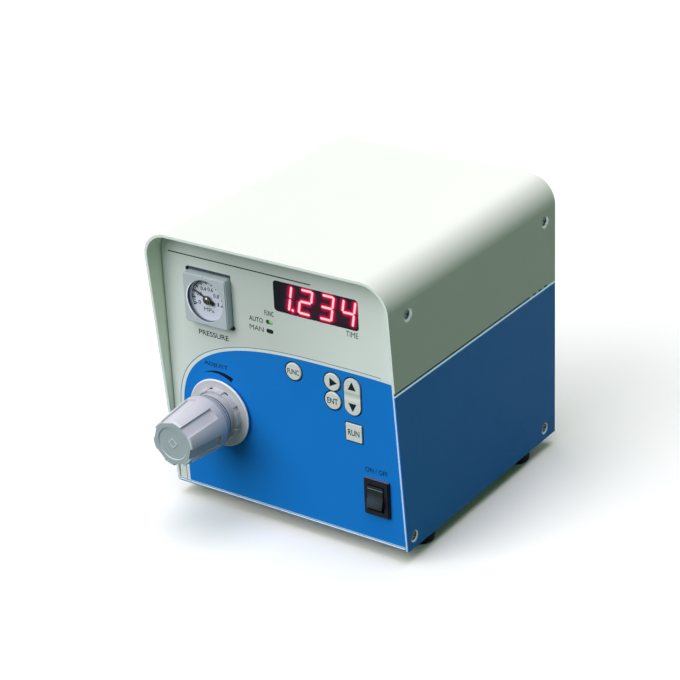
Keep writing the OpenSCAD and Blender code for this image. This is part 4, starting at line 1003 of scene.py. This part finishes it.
class DISPENSER_OT_panel_print(bpy.types.Operator):
    """Prints the film of the front panel: its blue field, headings, rule and turning mark"""
    bl_idname = "dispenser.panel_print"
    bl_label = "Panel print"

    def execute(self, context):
        clothe(printed_film(), "panel_overlay")
        # Words, place, width and height in millimetres, and ink
        for words, x, z, width, height, ink in (("FUNC", -4.95, 114.3, 5.7, 2.8, screen_ink()),
                                                ("AUTO", -13.4, 109.3, 8.8, 2.7, screen_ink()),
                                                ("MAN", -13.4, 104.4, 8.8, 2.7, screen_ink()),
                                                ("TIME", 45.2, 114.3, 7.2, 3.0, screen_ink()),
                                                ("PRESSURE", -41.6, 93.8, 19.2, 2.9, screen_ink()),
                                                ("ADJUST", -41.7, 76.3, 15.4, 2.9, blue_ink()),
                                                ("ON / OFF", 56.3, 41.4, 13.4, 2.9, blue_ink())):
            # An M's strokes stand close, so a word with one is not thickened
            weight = 0.0 if "M" in words else 0.012
            name = "print_" + words.replace(" / ", "_").lower()
            dress(lettering(name, words, x, z, width, height, FACE, weight), ink, "case")
        rule_at = spot(-23.0, 135.6) - Vector((0, 0.01 * MM, 0))
        rule = slab("print_rule", rule_at, (89.0 * MM, sizes().ink_height, 0.6 * MM))
        dress(round_edges(rule, 0.004 * MM, 1), screen_ink(), "case")
        return {"FINISHED"}


class DISPENSER_OT_gauge(bpy.types.Operator):
    """Moulds the gauge's case and prints its dial with a scale, numbers and unit"""
    bl_idname = "dispenser.gauge"
    bl_label = "Pressure gauge"

    def execute(self, context):
        housing = refined("gauge_housing", "gauge_case", 0.8 * sizes().moulded_edge)
        dress(housing, gauge_plastic(), "case")
        clothe(dial_enamel(), "gauge_dial")
        clothe(pointer_paint(), "gauge_pointer")
        clothe(lens_acrylic(), "gauge_lens")
        centre = middle("gauge_dial")
        centre.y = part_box("gauge_dial")[0].y
        lift = sizes().ink_height

        def marks(name, radius, length, width, angles, sink=0.0):
            """Like marks round the dial at these angles, sunk into it by a share of the ink's height."""
            at = centre + Vector((radius * MM, (sink - 0.5) * lift, 0))
            mark = slab(name, at, (length * MM, lift, width * MM))
            return copies(mark, [Matrix.Translation(centre) @ Matrix.Rotation(-math.radians(angle), 4, "Y")
                                 @ Matrix.Translation(-centre) for angle in angles])

        angles = [SCALE_START - SCALE_SWEEP * i / 40 for i in range(41)]
        ticks = marks("tick", 9.5, 2.6, 0.75, angles[::4])
        ticks += marks("tick", 9.75, 1.9, 0.45, [angle for i, angle in enumerate(angles) if i % 4])
        dress(joined("dial_scale", ticks), dial_ink(), "case")
        # The band under the ticks covers the first half of the scale
        cells = marks("band", 10.35, 0.8, 0.9, [SCALE_START - SCALE_SWEEP * i / 50 for i in range(26)], 0.4)
        dress(joined("dial_band", cells), scale_band_ink(), "case")
        # Numbers: the fifth of the scale that each stands at, distance from the middle, width and weight
        numbers = [("dial_number_" + str(i), "0." + str(2 * i + 2), i + 1, 6.0, 3.6, 0.015) for i in range(4)]
        numbers += [("dial_zero", "0", 0, 6.4, 1.6, 0.012), ("dial_one", "1", 5, 6.4, 0.8, 0.012)]
        for name, words, fifth, radius, width, weight in numbers:
            angle = math.radians(SCALE_START - SCALE_SWEEP * fifth / 5)
            x, z = on_panel(centre + Vector((math.cos(angle), 0, math.sin(angle))) * radius * MM)
            number = lettering(name, words, x, z, width, 2.2, centre.y, weight)
            dress(number, dial_ink(), "case")
        x, z = on_panel(centre)
        unit = lettering("dial_unit", "MPa", x, z - 5.9, 6.4, 2.3, centre.y)
        dress(unit, dial_ink(), "case")
        hub_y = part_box("gauge_pointer")[0].y - 0.2 * MM
        hub = rod("pointer_hub", Vector((centre.x, hub_y, centre.z)), 2.45 * MM, 0.6 * MM)
        dress(round_edges(hub, 0.4 * MM, 4), hub_metal(), "pointer")
        return {"FINISHED"}


class DISPENSER_OT_display(bpy.types.Operator):
    """Lights the digits behind the window and one of the two mode lamps"""
    bl_idname = "dispenser.display"
    bl_label = "Digit display"

    def execute(self, context):
        s = sizes()
        clothe(window_acrylic(), "display_window")
        clothe(dark_red_module(), "digit_display")
        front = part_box("display_window")[0].y
        # Middles of the seven segments, from the digit's right edge: along, up, and whether it stands
        tall, wide = 12.8, 6.8
        rise = tall / 4 + 0.25
        segments = {"a": (-wide / 2, tall / 2, False), "d": (-wide / 2, -tall / 2, False),
                    "g": (-wide / 2, 0, False), "b": (0, rise, True), "c": (0, -rise, True),
                    "f": (-wide, rise, True), "e": (-wide, -rise, True)}
        shown = ("bc", "abged", "abgcd", "fgbc")
        film = 0.004 * MM

        def bar(length, width, steps):
            """A flat bar at the origin with rounded ends."""
            piece = slab("bar", Vector(), (length, film, width))
            choose_edges(piece, lambda at: abs(at.x) > 0.4 * length and abs(at.z) > 0.4 * width)
            bpy.ops.mesh.bevel(offset=0.45 * width, segments=steps, affect="EDGES")
            bpy.ops.object.mode_set(mode="OBJECT")
            return piece

        def places(standing, depth):
            """Where the shown digits have a standing or a lying segment."""
            turn = Matrix.Rotation(s.digit_lean - math.radians(90) if standing else 0.0, 4, "Y")
            for digit, lit in enumerate(shown):
                for along, up, stands in (segments[letter] for letter in lit):
                    if stands == standing:
                        x = DIGIT_X + digit * s.digit_pitch / MM + along + up * math.tan(s.digit_lean)
                        at = spot(x, DIGIT_Z + up)
                        yield Matrix.Translation((at.x, depth, at.z)) @ turn

        # The light is laid on in thin layers, each this much wider than a segment
        for layer, (name, grow) in enumerate((("haze", 4.2), ("halo", 2.8), ("bloom", 1.5),
                                              ("segments", 0.0), ("flare", -0.8), ("cores", -1.35))):
            width = s.segment_width + grow * MM
            depth = front - 0.01 * MM - layer * film
            bars = []
            for standing, length in ((True, tall / 2 + 0.4), (False, wide)):
                pattern = bar((length + 0.1 + 0.5 * grow) * MM, width, 3 if grow > 0 else 2)
                bars += copies(pattern, places(standing, depth))
            point = spot(9.9, 119.3)
            point.y = depth
            bars.append(rod("bar", point, 0.5 * (width + 0.2 * MM), film, 24))
            dress(joined("digit_" + name, bars), digit_light(layer), "case")
        lit, dark = ("timer_lamp", "free_lamp") if s.lit_lamp == 1 else ("free_lamp", "timer_lamp")
        dress(refined("lit_lamp", lit, 0.25 * MM, 3), lit_lamp(), "case")
        dress(refined("dark_lamp", dark, 0.25 * MM, 3), dark_lamp(), "case")
        return {"FINISHED"}


class DISPENSER_OT_keys(bpy.types.Operator):
    """Moulds the five key caps and prints their marks"""
    bl_idname = "dispenser.keys"
    bl_label = "Keys"

    def execute(self, context):
        for key in KEYS:
            cap = refined("key_" + key + "_cap", "key_" + key, sizes().cap_edge)
            plastic = see_saw_plastic() if key == "up_down" else key_plastic()
            dress(cap, plastic, key + "_key")
        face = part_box("key_mode")[0].y
        for key, words, width, height in (("mode", "FUNC", 7.2, 2.9), ("set", "ENT", 6.4, 3.2),
                                          ("test", "RUN", 6.8, 3.4)):
            x, z = on_panel(middle("key_" + key))
            mark = lettering("key_" + key + "_mark", words, x, z, width, height, face, 0.014)
            dress(mark, screen_ink(), key + "_key")

        def arrow(name, centre, turn, body):
            """A printed triangle that points up, turned to the right by this many degrees."""
            bpy.ops.object.select_all(action="DESELECT")
            bpy.ops.mesh.primitive_cylinder_add(vertices=3, radius=3.05 * MM, depth=sizes().ink_height)
            piece = settle(named(name))
            piece.data.transform(Matrix.Translation((centre.x, face - sizes().ink_height / 2, centre.z))
                                 @ Matrix.Rotation(math.radians(turn), 4, "Y")
                                 @ Matrix.Rotation(math.radians(90), 4, "X")
                                 @ Matrix.Scale(0.92, 4, (1, 0, 0)))
            dress(round_edges(piece, 0.006 * MM, 1), screen_ink(), body)

        right, see_saw = middle("key_right"), middle("key_up_down")
        arrow("arrow_right", right + Vector((0.2 * MM, 0, 0)), 90, "right_key")
        arrow("arrow_up", see_saw + Vector((0, 0, 5.2 * MM)), 0, "up_down_key")
        arrow("arrow_down", see_saw - Vector((0, 0, 5.2 * MM)), 180, "up_down_key")
        return {"FINISHED"}


class DISPENSER_OT_regulator(bpy.types.Operator):
    """Moulds the regulator's knob, its ring nut and its bonnet"""
    bl_idname = "dispenser.regulator"
    bl_label = "Pressure regulator"

    def execute(self, context):
        knob = refined("knob_grip", "regulator_knob", 0.7 * sizes().moulded_edge, 2, 20)
        dress(knob, knob_grip_plastic(), "pressure_knob")
        dress(refined("ring_nut", "regulator_nut", 0.15 * MM), ring_nut_plastic(), "case")
        # The nut's inner sleeve closes its notches behind
        front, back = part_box("regulator_nut")[0].y + 0.5 * MM, FACE - 2.4 * MM
        centre = spot(NUT_X, NUT_Z)
        centre.y = (front + back) / 2
        sleeve = rod("nut_sleeve", centre, 13.7 * MM, back - front, 96, "NOTHING")
        wall = sleeve.modifiers.new("Wall", "SOLIDIFY")
        wall.thickness, wall.offset = 0.6 * MM, -1
        bpy.ops.object.modifier_apply(modifier=wall.name)
        dress(round_edges(sleeve, 0.1 * MM), ring_nut_plastic(), "case")
        clothe(bonnet_plastic(), "regulator_bonnet")
        clothe(turned_steel(), "adjusting_screw", "regulator_spring")
        clothe(cast_zinc(), "regulator_body")
        return {"FINISHED"}


class DISPENSER_OT_switch(bpy.types.Operator):
    """Moulds the power switch"""
    bl_idname = "dispenser.switch"
    bl_label = "Power switch"

    def execute(self, context):
        housing = refined("switch_housing", "switch_body", 0.25 * MM)
        dress(housing, switch_frame_plastic(), "case")
        rocker = refined("rocker_cap", "switch_rocker", 0.35 * MM, 3)
        dress(rocker, polished_black(), "rocker")
        return {"FINISHED"}


class DISPENSER_OT_back(bpy.types.Operator):
    """Finishes what is on the rear panel: mains inlet, fuse holder, sockets, air fittings and silencer"""
    bl_idname = "dispenser.back"
    bl_label = "Rear fittings"

    def execute(self, context):
        dress(refined("inlet_housing", "power_inlet", 0.3 * MM), black_abs(), "case")
        dress(refined("fuse_turn_cap", "fuse_cap", 0.4 * MM), black_abs(), "fuse_drawer")
        dress(refined("socket_bush", "foot_switch_jack", 0.25 * MM), nickel_screw(), "case")
        for node in ("air_in_fitting", "air_out_fitting"):
            dress(refined(node + "_body", node, 0.3 * MM), fitting_plastic(), "case")
        dress(refined("silencer_body", "exhaust_silencer", 0.4 * MM), sintered_bronze(), "case")
        clothe(collar_plastic(), "air_in_collar", "air_out_collar")
        clothe(black_abs(), "fuse_holder")
        clothe(nickel_screw(), "inlet_pins")
        return {"FINISHED"}


class DISPENSER_OT_inside(bpy.types.Operator):
    """Finishes what the case hides: boards, valve, tubes and wires"""
    bl_idname = "dispenser.inside"
    bl_label = "Inside"

    def execute(self, context):
        clothe(green_laminate(), "display_board", "control_board")
        clothe(brown_laminate(), "supply_board")
        clothe(yellow_tape(), "supply_parts")
        clothe(brass(), "board_spacers")
        clothe(black_abs(), "tact_switches", "valve_coil")
        clothe(turned_steel(), "key_fulcrum", "valve_bracket")
        clothe(anodised_aluminium(), "valve_block")
        clothe(fitting_plastic(), "port_fittings")
        clothe(air_tube_plastic(), "supply_tube", "pressure_tube", "gauge_tube", "outlet_tube",
               "exhaust_tube")
        clothe(white_pvc(), "mains_wires")
        clothe(red_pvc(), "control_wires")
        return {"FINISHED"}


def shown_mask(tree):
    """1 for rays from the camera, from a reflection or through a clear piece, and 0 for light."""
    rays = add(tree, "LightPath").outputs
    shown = rays["Is Camera Ray"]
    for other in ("Is Glossy Ray", "Is Transmission Ray"):
        shown = add(tree, "Math", {0: shown, 1: rays[other]}, operation="MAXIMUM").outputs[0]
    return shown


class DISPENSER_OT_stage(bpy.types.Operator):
    """Sets the floor, the light and the camera"""
    bl_idname = "dispenser.stage"
    bl_label = "Stage"

    def execute(self, context):
        scene = context.scene
        bpy.ops.object.select_all(action="DESELECT")
        bpy.ops.mesh.primitive_plane_add(size=6, location=(0, 0, DESK))
        floor = settle(named("floor"))
        material, tree, shader, place = blank("pale_floor")
        pale = mottled(tree, place, "#F7F7F7", 0.004, 400.0)
        tone = add(tree, "Mix", {0: shown_mask(tree), 6: "#3B4C40", 7: pale}, data_type="RGBA").outputs[2]
        feed(tree, shader, {"Base Color": tone, "Roughness": 0.9, "Specular IOR Level": 0.0})
        floor.data.materials.append(material)

        world = scene.world or bpy.data.worlds.new("studio")
        scene.world = world
        world.use_nodes = True
        tree = world.node_tree
        tree.nodes.clear()
        tone = add(tree, "Mix", {0: shown_mask(tree), 6: opaque(AMBIENT), 7: "#FFFFFF"},
                   data_type="RGBA").outputs[2]
        light = add(tree, "Background", {"Color": tone, "Strength": 1.0})
        add(tree, "OutputWorld", {"Surface": light.outputs["Background"]})

        # Lamps: where each stands, its strength, how wide it is in degrees, and its tint
        for name, toward, strength, softness, tint in (
                ("overhead", (0.0, -0.12, 1.0), 2.12, 48.0, (1.0, 0.922, 1.0)),
                ("front_left", (-0.36, -0.80, 0.62), 2.16, 48.0, (1.0, 0.98, 0.98)),
                ("rear_fill", (-0.25, 0.95, 0.06), 1.9, 26.0, (1.0, 0.88, 0.96))):
            bpy.ops.object.select_all(action="DESELECT")
            bpy.ops.object.light_add(type="SUN", location=Vector(toward) * 1.5)
            lamp = named(name)
            lamp.rotation_euler = Vector(toward).to_track_quat("Z", "Y").to_euler()
            lamp.data.energy = strength
            lamp.data.color = tint
            lamp.data.angle = math.radians(softness)

        # The camera stands round to the right, looks down and is tilted a little, as in the photograph
        azimuth, elevation, roll = (math.radians(angle) for angle in (35.8842, 25.5798, -2.7837))
        bpy.ops.object.select_all(action="DESELECT")
        bpy.ops.object.camera_add()
        camera = named("camera")
        camera.matrix_world = (Matrix.Translation((0.56427, -0.78885, 0.54771))
                               @ Matrix.Rotation(azimuth, 4, "Z")
                               @ Matrix.Rotation(math.radians(90) - elevation, 4, "X")
                               @ Matrix.Rotation(roll, 4, "Z"))
        camera.data.lens = 108.1
        camera.data.sensor_width = 36
        camera.data.sensor_fit = "HORIZONTAL"
        camera.data.clip_start = 0.05
        scene.camera = camera
        scene.view_settings.view_transform = "Standard"
        return {"FINISHED"}


STEPS = (DISPENSER_OT_case, DISPENSER_OT_panel_print, DISPENSER_OT_gauge, DISPENSER_OT_display,
         DISPENSER_OT_keys, DISPENSER_OT_regulator, DISPENSER_OT_switch, DISPENSER_OT_back,
         DISPENSER_OT_inside, DISPENSER_OT_stage)


class DISPENSER_PT_tools(bpy.types.Panel):
    """Lists the dispenser's pieces, sizes and colours"""
    bl_label = "Dispenser"
    bl_idname = "DISPENSER_PT_tools"
    bl_space_type = "VIEW_3D"
    bl_region_type = "UI"
    bl_category = "Dispenser"

    def draw(self, context):
        layout = self.layout
        for step in STEPS:
            layout.operator(step.bl_idname)
        for group in (context.scene.dispenser_sizes, context.scene.dispenser_colours):
            box = layout.box()
            for name in group.bl_rna.properties.keys():
                if name not in ("rna_type", "name"):
                    box.prop(group, name)


CLASSES = (DispenserSizes, DispenserColours, *STEPS, DISPENSER_PT_tools)


def register():
    for cls in CLASSES:
        bpy.utils.register_class(cls)
    bpy.types.Scene.dispenser_sizes = PointerProperty(type=DispenserSizes)
    bpy.types.Scene.dispenser_colours = PointerProperty(type=DispenserColours)


def unregister():
    del bpy.types.Scene.dispenser_sizes
    del bpy.types.Scene.dispenser_colours
    for cls in reversed(CLASSES):
        bpy.utils.unregister_class(cls)


def main():
    register()
    for step in STEPS:
        group, name = step.bl_idname.split(".")
        if getattr(getattr(bpy.ops, group), name)() != {"FINISHED"}:
            raise RuntimeError(step.bl_label + " was not finished")


if __name__ == "__main__":
    main()
